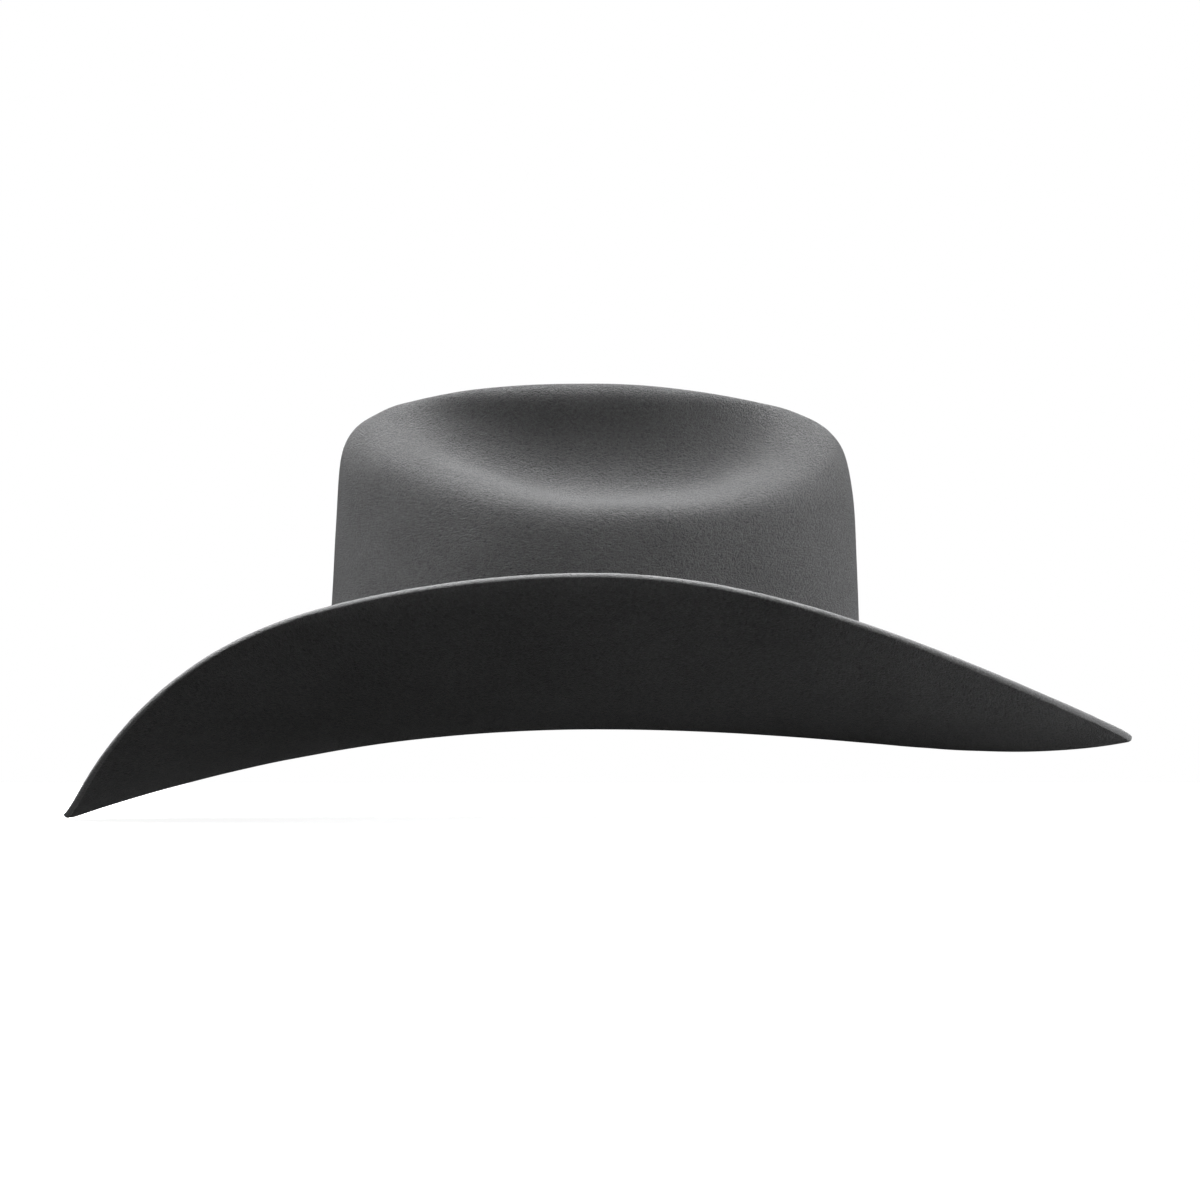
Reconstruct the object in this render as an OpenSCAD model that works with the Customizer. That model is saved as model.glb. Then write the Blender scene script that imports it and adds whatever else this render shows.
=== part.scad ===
// Western felt hat with a creased crown, an upturned brim, a self felt band
// with a small buckle set, a reeded leather sweatband and a satin lining.
// Millimetres, +Z up, front of the hat towards -Y, wearer's left towards +X.
// The origin is the middle of the head opening, level with the brim break.

/* [Head opening] */
// Width of the opening inside the sweatband
head_width = 164.5; // [150:0.5:200]
// Length of the opening inside the sweatband, front to back
head_length = 201.5; // [185:0.5:245]
// Height of the brim break at the front of the head
break_front = -5; // [-12:0.5:0]
// Height of the brim break at the sides
break_side = 4; // [0:0.5:10]
// Height of the brim break at the back
break_back = -2; // [-8:0.5:2]

/* [Crown] */
// Height of the crown's highest line above the origin
crown_height = 133.5; // [110:0.5:165]
// Thickness of the crown's felt
crown_felt = 1.8; // [1.4:0.1:2.4]
// Inward lean of the front wall, in mm for each mm of height
lean_front = 0.058; // [0.02:0.002:0.1]
// Inward lean of the side walls, in mm for each mm of height
lean_side = 0.045; // [0.02:0.002:0.08]
// Inward lean of the back wall, in mm for each mm of height
lean_back = 0.031; // [0.01:0.002:0.08]

/* [Brim] */
// Width of the brim at the front, measured along the felt
brim_front = 101; // [75:0.5:125]
// Width of the brim at the sides, measured along the felt
brim_side = 99.5; // [75:0.5:120]
// Width of the brim at the back, measured along the felt
brim_back = 100.5; // [75:0.5:125]
// Thickness of the brim's felt
brim_felt = 2.2; // [1.6:0.1:3]
// Radius of the bend where the crown turns into the brim
break_radius = 4; // [3:0.5:6]
// Slope of the brim at the break, at the front
start_front = -13.5; // [-20:0.5:0]
// Slope of the brim at the break, at the sides
start_side = -10; // [-15:0.5:5]
// Slope of the brim at the break, at the back
start_back = -6; // [-15:0.5:5]
// Slope of the brim at its edge, at the front
edge_front = -20; // [-35:0.5:0]
// Slope of the brim at its edge, at the sides
edge_side = 84; // [40:0.5:90]
// Slope of the brim at its edge, at the back
edge_back = 11.5; // [-10:0.5:25]
// How far round from the front the drooping nose of the brim reaches, in degrees
nose_spread = 33; // [24:0.5:42]

/* [Hatband] */
// Height of the felt strip
band_height = 18; // [12:0.5:24]
// Thickness of the felt strip
band_felt = 1.2; // [0.8:0.1:1.6]
// Height of the strip's lower edge above the brim break
band_lift = 5; // [4.5:0.5:8]
// Space between the crown and the strip
band_gap = 0.2; // [0.1:0.05:0.5]
// Distance from the middle of the left side to the heel bar
heel_offset = 10; // [6:0.5:16]
// Distance from the heel bar to where the fold ends
fold_length = 12; // [9:0.5:14]
// Distance from the heel bar to the end of the loose tail
tail_length = 48; // [44:0.5:60]
// Number of tacks that hold the strip to the crown
tack_count = 8; // [4:1:16]

/* [Buckle set] */
// Radius of the heel bar
bar_radius = 0.8; // [0.6:0.05:1]
// Radial space between the heel bar and the felt folded round it
fold_clearance = 0.25; // [0.2:0.05:0.5]
// Radial running clearance of the tongue on the heel bar
tongue_clearance = 0.05; // [0.02:0.01:0.1]
// Distance from the heel bar to the middle of the front bar
buckle_reach = 20.5; // [16:0.5:26]
// Width of the frame's limbs
limb_width = 2.6; // [2:0.1:4]
// Thickness of the frame
frame_thickness = 1.6; // [1.2:0.1:2]
// Space between the strip's edges and the frame or the keeper
strip_clearance = 0.6; // [0.4:0.1:1]
// Radius of the tongue's rod
tongue_radius = 0.7; // [0.5:0.05:0.9]
// Width of the tongue's eye along the heel bar
eye_width = 2; // [1.6:0.1:3]
// Distance from the heel bar to the middle of the keeper
keeper_offset = 21; // [19:0.5:23]
// Width of the keeper along the strip
keeper_width = 6; // [4:0.5:8]
// Thickness of the keeper's back leg, between the strip and the crown
keeper_back = 0.5; // [0.4:0.1:0.8]
// Thickness of the keeper's front and edge legs
keeper_wall = 1; // [0.8:0.1:1.6]
// Space between the keeper and the felt that runs through it
keeper_clearance = 0.5; // [0.45:0.05:0.8]
// Length of the metal tip on the loose tail
tip_length = 13; // [9:0.5:16]
// Wall of the metal tip
tip_wall = 0.4; // [0.3:0.05:0.6]

/* [Sweatband] */
// Height of the leather sweatband
sweat_height = 50; // [38:0.5:62]
// Thickness of the leather
sweat_leather = 1.1; // [0.8:0.1:1.6]
// Space between the leather and the crown, for the reed's tape and the lining
sweat_gap = 0.6; // [0.5:0.05:1]
// Gap between the leather's two ends at the back
sweat_slit = 1; // [0.6:0.1:3]
// Radius of the reed in the lower edge
reed_radius = 0.9; // [0.7:0.1:1.2]
// Height of the reed's tape
tape_height = 10; // [8:0.5:14]
// Thickness of the reed's tape
tape_thickness = 0.3; // [0.2:0.05:0.4]
// Number of stitches in each row round the opening
stitch_count = 72; // [48:4:96]
// Radius of the thread
thread_radius = 0.25; // [0.2:0.05:0.4]
// Width of the ribbon in the rear bow
bow_ribbon = 6; // [4:0.5:8]
// Length of each loop of the rear bow
bow_loop = 12; // [8:0.5:16]

/* [Lining] */
// Distance from the floor of the side dents down to the flat top of the lining
lining_clearance = 8; // [6.6:0.2:20]
// Thickness of the satin
satin = 0.35; // [0.2:0.05:0.5]
// Distance in from the crown's outer face to the seam of the lining's top
lining_inset = 13; // [10:0.5:20]
// Radius of the cord that covers the lining's seam
gimp_radius = 0.9; // [0.6:0.1:1.2]
// Length of the blank patch in the lining's top
patch_length = 52; // [36:1:70]
// Width of the blank patch
patch_width = 36; // [24:1:50]

/* [Hidden] */

FELT = [0.28, 0.28, 0.29];
SILVER = [0.78, 0.78, 0.80];
LEATHER = [0.17, 0.14, 0.12];
SATIN = [0.60, 0.61, 0.64];
THREAD = [0.22, 0.22, 0.23];
RIBBON = [0.10, 0.10, 0.11];

// Facets round the head, rows in each span of the crown, in the bend and in the brim
around = 72;
span_rows = 2;
bend_rows = 4;
brim_rows = 11;
hair = 0.02;      // smallest gap between pieces that only touch

// The crown's outer base oval follows from the head and all that lines it.
half_width = head_width / 2 + sweat_leather + sweat_gap + crown_felt;
half_length = head_length / 2 + sweat_leather + sweat_gap + crown_felt;

// Control rings of the crown above its straight wall, from the shoulder to the
// floor of the crease. Half width, front reach and back reach are in % of the
// base oval; the heights at front, side and back are in % of crown_height.
// Then come the squareness of the ring and how sharply its height leaves the
// front and the back.
CROWN_RINGS = [
    // width front back   z front side  back   square  front back
    [96,   94.8, 97.5,    66,   56.5, 61.5,   1.00,   2,   2],    // under the shoulder
    [94,   94,   96.5,    78,   62,   70.5,   1.00,   1.8, 2.5],  // shoulder
    [88.5, 92,   94.2,    84,   63.6, 81,     1.00,   1.7, 3],    // outer edge of the dent
    [77,   87.5, 89.7,    89,   65,   86,     1.00,   1.7, 3],    // floor of the dent
    [59,   80.5, 84.5,    92,   67,   89.5,   0.97,   1.8, 2.8],  // dent turning up
    [49,   74.4, 77.2,    94.5, 73,   92,     0.93,   1.9, 2.4],  // wall of the dent
    [46,   68.5, 70.7,    95.5, 88,   94,     0.90,   2,   2],    // below the ridge
    [46.5, 63.8, 64.3,    96.3, 100.3, 94.8,  0.90,   3,   1.8],  // ridge, outer side
    [30,   58,   59.5,    96,   99.2, 94,     0.90,   2.5, 1.5],  // ridge, inner side
    [15,   51,   53.7,    91.4, 91.4, 90.6,   0.90,   2,   2],    // wall of the crease
    [5,    44,   48,      88.4, 84.6, 88.4,   0.90,   2,   2],    // floor of the crease
];
wall_low = 30;    // heights of the wall's two free rings above the brim break
wall_high = 56;
dent_floor = crown_height * CROWN_RINGS[3][4] / 100;

// How late in the brim's width the front and the back curl
late_front = 1.2;
late_back = 0.9;

// ---------- helpers ----------

function unit(v) = v / norm(v);
function signed_power(v, e) = sign(v) * pow(abs(v), e);
function flat(rows) = [for (r = rows) each r];

// A value that goes from front to side to back with the angle u (0 is the front)
function by_angle(u, front, side, back, pf = 2, pb = 2) =
    let (c = cos(u), s = 1 - pow(abs(c), c > 0 ? pf : pb))
    (c > 0 ? front : back) * (1 - s) + side * s;

function break_z(u) = by_angle(u, break_front, break_side, break_back);
function oval_normal(u) = unit([sin(u) / half_width, -cos(u) / half_length, 0]);

// A point of the crown wall at angle u and height h above the break, moved
// inwards by inset
function wall(u, h, inset = 0) =
    let (lean_end = cos(u) > 0 ? lean_front : lean_back)
    [(half_width - lean_side * h) * sin(u), -(half_length - lean_end * h) * cos(u),
     break_z(u) + h] - inset * oval_normal(u);

// The same at an absolute height
function wall_at(u, z, inset = 0) = wall(u, z - break_z(u), inset);

function ring_point(r, u) =
    [half_width * r[0] / 100 * signed_power(sin(u), r[6]),
     -half_length * (cos(u) > 0 ? r[1] : r[2]) / 100 * signed_power(cos(u), r[6]),
     crown_height * by_angle(u, r[3], r[4], r[5], r[7], r[8]) / 100];

// The control points of the crown on one meridian, with a mirrored one at each end
function meridian(u) =
    let (c = concat([wall(u, break_radius), wall(u, wall_low), wall(u, wall_high)],
                    [for (r = CROWN_RINGS) ring_point(r, u)]), n = len(c))
    concat([2 * c[0] - c[1]], c, [2 * c[n - 1] - c[n - 2]]);

// Uniform cubic B-spline through four control points
function spline(a, b, c, d, t) =
    (pow(1 - t, 3) * a + (3 * t * t * t - 6 * t * t + 4) * b
     + (-3 * t * t * t + 3 * t * t + 3 * t + 1) * c + t * t * t * d) / 6;

// Crown meridian from the floor of the crease down to the break
function crown_line(u) =
    let (c = meridian(u), spans = len(c) - 3, rows = spans * span_rows)
    [for (k = [rows:-1:0]) let (i = min(floor(k / span_rows), spans - 1),
                                t = k / span_rows - i)
        spline(c[i], c[i + 1], c[i + 2], c[i + 3], t)];

// Slope of the brim's edge at angle u: a bell round the nose, a cosine at the back
function edge_slope(u) = cos(u) > 0
    ? edge_side + (edge_front - edge_side) * exp(-pow(min(u, 360 - u) / nose_spread, 3))
    : by_angle(u, edge_front, edge_side, edge_back);

// Slope of the brim at angle u and at the share t of its width
function brim_slope(u, t) =
    let (a = by_angle(u, start_front, start_side, start_back),
         late = by_angle(u, late_front, 0, late_back))
    a + (edge_slope(u) - a) * (t * (1 - late) + late * t * t);

// Brim section at angle u, as distance out and height from the end of the wall
function bend_line(u) = [for (i = [1:bend_rows])
    let (a = -90 + (brim_slope(u, 0) + 90) * i / bend_rows)
    break_radius * [1 + sin(a), -cos(a)]];
function brim_run(u, p, i) = i == brim_rows ? [p] :
    let (w = by_angle(u, brim_front, brim_side, brim_back) / brim_rows,
         a = brim_slope(u, (i + 0.5) / brim_rows))
    concat([p], brim_run(u, p + w * [cos(a), sin(a)], i + 1));
function brim_line(u) =
    let (bend = bend_line(u), last = len(bend) - 1, start = wall(u, break_radius),
         run = concat([for (i = [0:last - 1]) bend[i]], brim_run(u, bend[last], 0)))
    [for (p = run) start + p[0] * oval_normal(u) + [0, 0, p[1]]];

// The whole outer face of the felt, one list of points for each angle
angles = [for (i = [0:around - 1]) 360 * i / around];
OUTER = [for (u = angles) concat(crown_line(u), brim_line(u))];
row_count = len(OUTER[0]);
crown_rows = len(crown_line(0));

// Felt thickness at a row: the crown's, easing to the brim's in the bend
function felt_at(j) = crown_felt
    + (brim_felt - crown_felt) * max(0, min(1, (j - crown_rows + 1) / bend_rows));

// Outward normal of the felt. The crease's floor takes the point across it as
// its next row.
function felt_normal(i, j) =
    let (left = OUTER[(i + around - 1) % around][j], right = OUTER[(i + 1) % around][j],
         up = j > 0 ? OUTER[i][j - 1] : OUTER[(around - i) % around][0],
         down = OUTER[i][min(j + 1, row_count - 1)])
    j == 0 && i % (around / 2) == 0 ? [0, 0, 1] : unit(cross(down - up, right - left));

INNER = [for (i = [0:around - 1]) [for (j = [0:row_count - 1])
    OUTER[i][j] - felt_at(j) * felt_normal(i, j)]];

// ---------- solids made of rings ----------

// Two triangles for the quad a b c d
function quad(a, b, c, d) = [[a, b, c], [a, c, d]];

// A shell between the outer and the inner felt from one row to another. It is
// closed across the crease where it starts at row 0.
module felt_shell(first, last) {
    m = last - first + 1;
    function o(i, j) = (i % around) * m + j;
    function n(i, j) = around * m + o(i, j);
    half = around / 2;
    polyhedron(
        concat(flat([for (c = OUTER) [for (j = [first:last]) c[j]]]),
               flat([for (c = INNER) [for (j = [first:last]) c[j]]])),
        concat(
            [for (i = [0:around - 1]) for (j = [0:m - 2])
                each quad(o(i, j), o(i, j + 1), o(i + 1, j + 1), o(i + 1, j))],
            [for (i = [0:around - 1]) for (j = [0:m - 2])
                each quad(n(i, j), n(i + 1, j), n(i + 1, j + 1), n(i, j + 1))],
            [for (i = [0:around - 1])
                each quad(o(i, m - 1), n(i, m - 1), n(i + 1, m - 1), o(i + 1, m - 1))],
            first > 0
                ? [for (i = [0:around - 1]) each quad(o(i, 0), o(i + 1, 0), n(i + 1, 0), n(i, 0))]
                : concat(
                    [[o(0, 0), o(1, 0), o(around - 1, 0)],
                     [n(0, 0), n(around - 1, 0), n(1, 0)],
                     [o(half - 1, 0), o(half, 0), o(half + 1, 0)],
                     [n(half - 1, 0), n(half + 1, 0), n(half, 0)]],
                    [for (i = [1:half - 2])
                        each quad(o(i, 0), o(i + 1, 0), o(around - i - 1, 0), o(around - i, 0))],
                    [for (i = [1:half - 2])
                        each quad(n(i, 0), n(around - i, 0), n(around - i - 1, 0), n(i + 1, 0))])),
        convexity = 8);
}

// A solid through a list of closed sections with the same number of points.
// It is a ring when closed, and otherwise it ends in its first and last section.
module loft(sections, closed = false) {
    s = len(sections);
    p = len(sections[0]);
    function at(k, q) = (k % s) * p + q % p;
    polyhedron(
        flat(sections),
        concat(
            [for (k = [0:s - (closed ? 1 : 2)]) for (q = [0:p - 1])
                each quad(at(k, q), at(k, q + 1), at(k + 1, q + 1), at(k + 1, q))],
            closed ? [] : [for (q = [1:p - 2]) [at(0, 0), at(0, q + 1), at(0, q)]],
            closed ? [] : [for (q = [1:p - 2]) [at(s - 1, 0), at(s - 1, q), at(s - 1, q + 1)]]),
        convexity = 8);
}

// The unit normals of a flat line of points, to its left
function line_normals(line) = [for (i = [0:len(line) - 1])
    let (d = unit(line[min(i + 1, len(line) - 1)] - line[max(i - 1, 0)])) [-d[1], d[0]]];

// A section of a sheet of thickness t whose outer face follows [inset, height]
// points on the wall at angle u
function sheet_section(u, line, t) =
    let (normals = line_normals(line), last = len(line) - 1)
    concat([for (p = line) wall(u, p[1], p[0])],
           [for (i = [last:-1:0]) let (p = line[i] - t * normals[i]) wall(u, p[1], p[0])]);

// A round section of radius r about the point [inset, height] of the wall
function round_section(u, inset, h, r, sides = 6) =
    [for (k = [0:sides - 1]) wall(u, h + r * cos(360 * k / sides), inset - r * sin(360 * k / sides))];

// A patch of cloth on the wall between two angles
module wall_patch(from, to, line, t, steps) {
    loft([for (k = [0:steps]) sheet_section(from + (to - from) * k / steps, line, t)]);
}

// ---------- places on the wall ----------

// Puts children on the wall: x out of the crown, y towards larger u, z up
module on_wall(u, h, inset = 0) {
    p = wall(u, h, inset);
    y = unit(wall(u + 1, h) - wall(u - 1, h));
    x = unit(cross(y, wall(u, h + 1) - wall(u, h)));
    z = cross(x, y);
    multmatrix([[x[0], y[0], z[0], p[0]], [x[1], y[1], z[1], p[1]], [x[2], y[2], z[2], p[2]]])
        children();
}

// Angle of a place that lies s mm behind the middle of the left side
mm_per_degree = half_length * PI / 180;
function side_angle(s) = 90 + s / mm_per_degree;
band_middle = band_lift + band_height / 2;

// ---------- felt ----------

module felt_crown() color(FELT) felt_shell(0, crown_rows - 1);
module felt_brim() color(FELT) felt_shell(crown_rows - 1, row_count - 1);

// ---------- hatband ----------

// Layers at the buckle, as distances out from the crown to the strip's middle
layer_low = band_gap + band_felt / 2;
fold_radius = bar_radius + fold_clearance + band_felt / 2;
bar_out = layer_low + fold_radius;
layer_fold = layer_low + band_felt + 0.1;
layer_raised = band_gap + keeper_back + keeper_clearance + band_felt / 2;
layer_tail = layer_raised + band_felt + 0.1;
over_fold = fold_radius + band_felt + 0.1;      // from the heel bar's axis
tail_end = heel_offset + tail_length;
fold_end = heel_offset + fold_length;
keeper_at = heel_offset + keeper_offset;

// The strip's path as [mm behind the middle of the left side, mm out from the
// crown]: the end folded round the heel bar, once round the crown, then under
// the front bar, over the fold and through the keeper to the tail's end.
function round_bar(r, from, to, steps) = [for (k = [0:steps])
    let (a = from + (to - from) * k / steps) [heel_offset + r * cos(a), bar_out + r * sin(a)]];
round_degrees = 360 - (keeper_at + 12 + 12) / mm_per_degree;
round_steps = 60;
BAND_PATH = concat(
    [[fold_end, layer_fold], [heel_offset + 8, layer_fold], [heel_offset + 5, layer_fold + 0.3]],
    round_bar(fold_radius, 70, 270, 8),
    [[heel_offset + 5, layer_low], [heel_offset + 11, layer_low],
     for (s = [-7:4:9]) [keeper_at + s, layer_raised]],
    [for (k = [0:round_steps])
        [keeper_at + 12 + round_degrees * mm_per_degree * k / round_steps, layer_low]]);
TAIL_PATH = concat(
    [[-4, layer_low], [heel_offset - 9, layer_low], [heel_offset - 7, layer_low + 0.4],
     [heel_offset - 5, layer_low + 1.7]],
    round_bar(over_fold, 140, 75, 4),
    [[heel_offset + 5, layer_tail + 1.2], [heel_offset + 8, layer_tail + 0.7],
     [fold_end, layer_tail + 0.6], for (s = [-6:4:10]) [keeper_at + s, layer_tail],
     [tail_end - 12, layer_tail], [tail_end - 6, layer_tail], [tail_end, layer_tail]]);
WHOLE_PATH = concat(BAND_PATH, [for (p = TAIL_PATH) [p[0] + 360 * mm_per_degree, p[1]]]);

module hatband() color(FELT) {
    normals = line_normals(WHOLE_PATH);
    difference() {
        loft([for (i = [0:len(WHOLE_PATH) - 1])
            let (p = WHOLE_PATH[i], side = normals[i] * band_felt / 2, a = p + side, b = p - side,
                 top = band_lift + band_height)
            [wall(side_angle(a[0]), band_lift, -a[1]), wall(side_angle(a[0]), top, -a[1]),
             wall(side_angle(b[0]), top, -b[1]), wall(side_angle(b[0]), band_lift, -b[1])]]);
        // Slot for the tongue, through the fold and the tail
        buckle_place()
            translate([-bar_out, -9.5, -eye_width / 2 - strip_clearance])
                cube([bar_out + over_fold + 2, 12, eye_width + 2 * strip_clearance]);
    }
}

// Threads through the fold and the strip under it
module fold_stitches() color(THREAD)
    for (h = [-6:3:6])
        on_wall(side_angle(heel_offset + 9.5), band_middle + h, -band_gap - hair)
            rotate([0, 90, 0])
                cylinder(h = 2 * band_felt + 0.1, r = thread_radius, $fn = 16);

// Short threads that tack the strip to the crown, away from the buckle
module band_tacks() color(THREAD)
    for (k = [0:tack_count - 1])
        on_wall(side_angle(keeper_at + 40) + (round_degrees - 50) * k / (tack_count - 1),
                band_middle, crown_felt - hair)
            rotate([0, 90, 0])
                cylinder(h = crown_felt + band_gap + band_felt, r = thread_radius, $fn = 16);

// ---------- buckle set ----------

// Puts children on the heel bar: x out, y towards the back, z up along the bar
BAR_POINT = wall(side_angle(heel_offset), band_middle, -bar_out);
FRONT_POINT = wall(side_angle(heel_offset - buckle_reach), band_middle, -bar_out);
module buckle_place() {
    mid = side_angle(heel_offset - buckle_reach / 2);
    y = unit(BAR_POINT - FRONT_POINT);
    x = unit(cross(y, wall(mid, band_middle + 1) - wall(mid, band_middle)));
    z = cross(x, y);
    p = BAR_POINT;
    multmatrix([[x[0], y[0], z[0], p[0]], [x[1], y[1], z[1], p[1]], [x[2], y[2], z[2], p[2]]])
        children();
}

frame_inside = band_height + 2 * strip_clearance;
frame_height = frame_inside + 2 * limb_width;
eye_radius = bar_radius + 0.9;

// A rectangle in the frame's plane, from y0 to y1, with round corners at y0
module rounded_front(y0, y1, height, r) {
    translate([y0 + r, -height / 2])
        square([y1 - y0 - r, height]);
    translate([y0, -height / 2 + r])
        square([r, height - 2 * r]);
    for (side = [-1, 1])
        translate([y0 + r, side * (height / 2 - r)])
            circle(r = r, $fn = 48);
}

module buckle_frame() color(SILVER) buckle_place() difference() {
    union() {
        translate([-frame_thickness / 2, 0, 0])
            rotate([90, 0, 90])
                linear_extrude(frame_thickness)
                    difference() {
                        rounded_front(-buckle_reach - limb_width / 2, 0, frame_height, 4);
                        rounded_front(-buckle_reach + limb_width / 2, 1, frame_inside, 1.5);
                    }
        for (side = [-1, 1])
            translate([0, 0, side * (frame_inside + limb_width) / 2])
                cylinder(h = limb_width, r = eye_radius, center = true, $fn = 48);
    }
    cylinder(h = frame_height + 2, r = bar_radius, center = true, $fn = 48);
}

module buckle_bar() color(SILVER) buckle_place()
    cylinder(h = frame_height, r = bar_radius, center = true, $fn = 48);

// The tongue lies on the front bar and turns on the heel bar.
tongue_rest = frame_thickness / 2 + tongue_radius + 0.05;
tongue_length = buckle_reach + limb_width / 2 + 0.6;
module buckle_tongue() color(SILVER) buckle_place() difference() {
    union() {
        cylinder(h = eye_width, r = bar_radius + tongue_clearance + 0.75, center = true, $fn = 48);
        rotate([0, 0, atan(tongue_rest / buckle_reach)])
            rotate([90, 0, 0]) {
                cylinder(h = tongue_length, r = tongue_radius, $fn = 32);
                translate([0, 0, tongue_length])
                    sphere(r = tongue_radius, $fn = 32);
            }
    }
    cylinder(h = eye_width + 1, r = bar_radius + tongue_clearance, center = true, $fn = 48);
}

// Closed loop round the strip and its tail
keeper_depth = layer_tail - layer_raised + band_felt + 2 * keeper_clearance;
module keeper() color(SILVER) on_wall(side_angle(keeper_at), band_middle, -band_gap) difference() {
    translate([0, -keeper_width / 2, -frame_inside / 2 - keeper_wall])
        cube([keeper_back + keeper_depth + keeper_wall, keeper_width,
              frame_inside + 2 * keeper_wall]);
    translate([keeper_back, -keeper_width / 2 - 1, -frame_inside / 2])
        cube([keeper_depth, keeper_width + 2, frame_inside]);
}

// Metal cap on the tail, with a round nose past the tail's end
tip_nose = 3.4;
tip_clearance = 0.3;
tip_grow = tip_clearance + tip_wall;
module tip_outline() {
    r = band_height + tip_grow;
    intersection() {
        translate([tip_nose - r, 0])
            circle(r = r, $fn = 96);
        translate([-tip_length, -band_height / 2 - tip_grow])
            square([tip_length + tip_nose, band_height + 2 * tip_grow]);
    }
}
module band_tip() color(SILVER)
    on_wall(side_angle(tail_end - tip_length / 2), band_middle, -layer_tail)
        rotate([90, 0, 90])
            translate([tip_length / 2, 0, 0])
                difference() {
                    translate([0, 0, -band_felt / 2 - tip_grow])
                        linear_extrude(band_felt + 2 * tip_grow)
                            tip_outline();
                    translate([-tip_length - 1, -band_height / 2 - tip_clearance,
                               -band_felt / 2 - tip_clearance])
                        cube([tip_length + 1 + tip_clearance, band_height + 2 * tip_clearance,
                              band_felt + 2 * tip_clearance]);
                }

// ---------- sweatband ----------

sweat_inset = crown_felt + sweat_gap;
slit_degrees = sweat_slit / (half_width * PI / 180);

// Angles from one side of the rear slit to the other
function open_angles(slit) = concat([180 + slit / 2],
    [for (i = [1:around - 1]) 180 + 360 * i / around], [540 - slit / 2]);

module sweatband() color(LEATHER)
    loft([for (u = open_angles(slit_degrees))
        sheet_section(u, [for (k = [0:3]) [sweat_inset, 2 * reed_radius + hair
            + (sweat_height - 2 * reed_radius) * k / 3]], sweat_leather)]);

module sweatband_reed() color(THREAD)
    loft([for (u = open_angles(3 * slit_degrees))
        round_section(u, sweat_inset + reed_radius, reed_radius, reed_radius)]);

module reed_tape() color(RIBBON)
    loft([for (u = open_angles(2 * slit_degrees))
        sheet_section(u, [[crown_felt + (sweat_gap - tape_thickness) / 2, break_radius],
                          [crown_felt + (sweat_gap - tape_thickness) / 2, tape_height]],
                      tape_thickness)]);

// Threads through the crown and the reed's tape
module attaching_stitches() color(THREAD)
    for (k = [0:stitch_count - 1])
        on_wall(360 * (k + 0.5) / stitch_count, break_radius + 2,
                crown_felt + sweat_gap - hair)
            rotate([0, 90, 0])
                cylinder(h = crown_felt + sweat_gap - hair, r = thread_radius, $fn = 16);

// Row of stitches on the leather just above the reed
module leather_stitches() color(THREAD)
    for (k = [0:stitch_count - 1])
        on_wall(360 * (k + 0.5) / stitch_count, 4 * reed_radius,
                sweat_inset + sweat_leather + thread_radius + 0.1)
            rotate([90, 0, 0])
                cylinder(h = 4, r = thread_radius, center = true, $fn = 16);

// Stitches across the rear slit of the leather
module seam_stitches() color(THREAD)
    for (h = [12:4:sweat_height - 6])
        on_wall(180, h, sweat_inset + sweat_leather + thread_radius + 0.1)
            rotate([90, 0, 0])
                cylinder(h = sweat_slit + 5, r = thread_radius, center = true, $fn = 16);

// The rear bow sits on the leather above the reed. Its own x points to the head.
bow_height = 9;
ribbon = 0.4;
knot_size = 4;
module bow_place() on_wall(180, bow_height, sweat_inset + sweat_leather + 2 * thread_radius + 0.4)
    mirror([1, 0, 0]) children();

module loop_outline(grow) {
    r = 1.6 + grow;
    translate([0, -r])
        square([bow_loop - 3.2, 2 * r]);
    for (x = [0, bow_loop - 3.2])
        translate([x, 0])
            circle(r = r, $fn = 32);
}
module bow_loops() color(RIBBON) bow_place()
    for (side = [-1, 1])
        rotate([side * 8, 0, -side * 9])
            translate([1.8, side * (knot_size / 2 + 2.6), -bow_ribbon / 2])
                rotate([0, 0, side * 90])
                    linear_extrude(bow_ribbon)
                        difference() {
                            loop_outline(0);
                            loop_outline(-ribbon);
                        }
module bow_knot() color(RIBBON) bow_place()
    translate([0, -knot_size / 2, -bow_ribbon / 2 - 0.5])
        cube([3.8, knot_size, bow_ribbon + 1]);
module bow_tails() color(RIBBON) bow_place()
    for (side = [-1, 1])
        translate([0.2, 0, -bow_ribbon / 2 - 0.6])
            rotate([90, 0, 90])
                linear_extrude(ribbon)
                    polygon([[side * 0.2, 0], [side * 2, 0], [side * 5.4, -4.2], [side * 3.2, -5.8]]);

// Blank cloth tag on the leather, to one side of the bow
module size_tag() color(SATIN)
    wall_patch(192, 208, [for (h = [20, 30]) [sweat_inset + sweat_leather + 0.15, h]], 0.3, 4);

// ---------- lining ----------

// The satin hangs behind the leather and turns in to its top panel.
lining_start = crown_felt + 0.15;
lining_hem = sweat_height - 20;
lining_top = dent_floor - lining_clearance;

// Insets of the lining where it turns in, with each place's share of the way
// from the leather's top edge to the lining's top
TURN = [[lining_start, 0.15], [lining_start + 2, 0.62], [lining_start + 4, 0.85],
        [lining_start + 7, 0.96], [lining_inset, 1]];
module lining_side() color(SATIN)
    loft([for (u = angles)
        let (free = lining_top - break_z(u) - sweat_height)
        sheet_section(u, concat([[lining_start, lining_hem]],
                                [for (p = TURN) [p[0], sweat_height + p[1] * free]]), satin)],
        closed = true);

function wall_oval(z, inset) = [for (u = angles) let (p = wall_at(u, z, inset)) [p[0], p[1]]];
function ellipse(length, width) = [for (u = angles) [width / 2 * sin(u), -length / 2 * cos(u)]];

module lining_top_panel() color(SATIN)
    translate([0, 0, lining_top - satin])
        linear_extrude(satin)
            polygon(wall_oval(lining_top, lining_inset + 0.2));

module lining_gimp() color(RIBBON)
    loft([for (u = angles)
        round_section(u, lining_inset + 0.1, lining_top - break_z(u) - satin - gimp_radius - 0.1,
                      gimp_radius)], closed = true);

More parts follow.
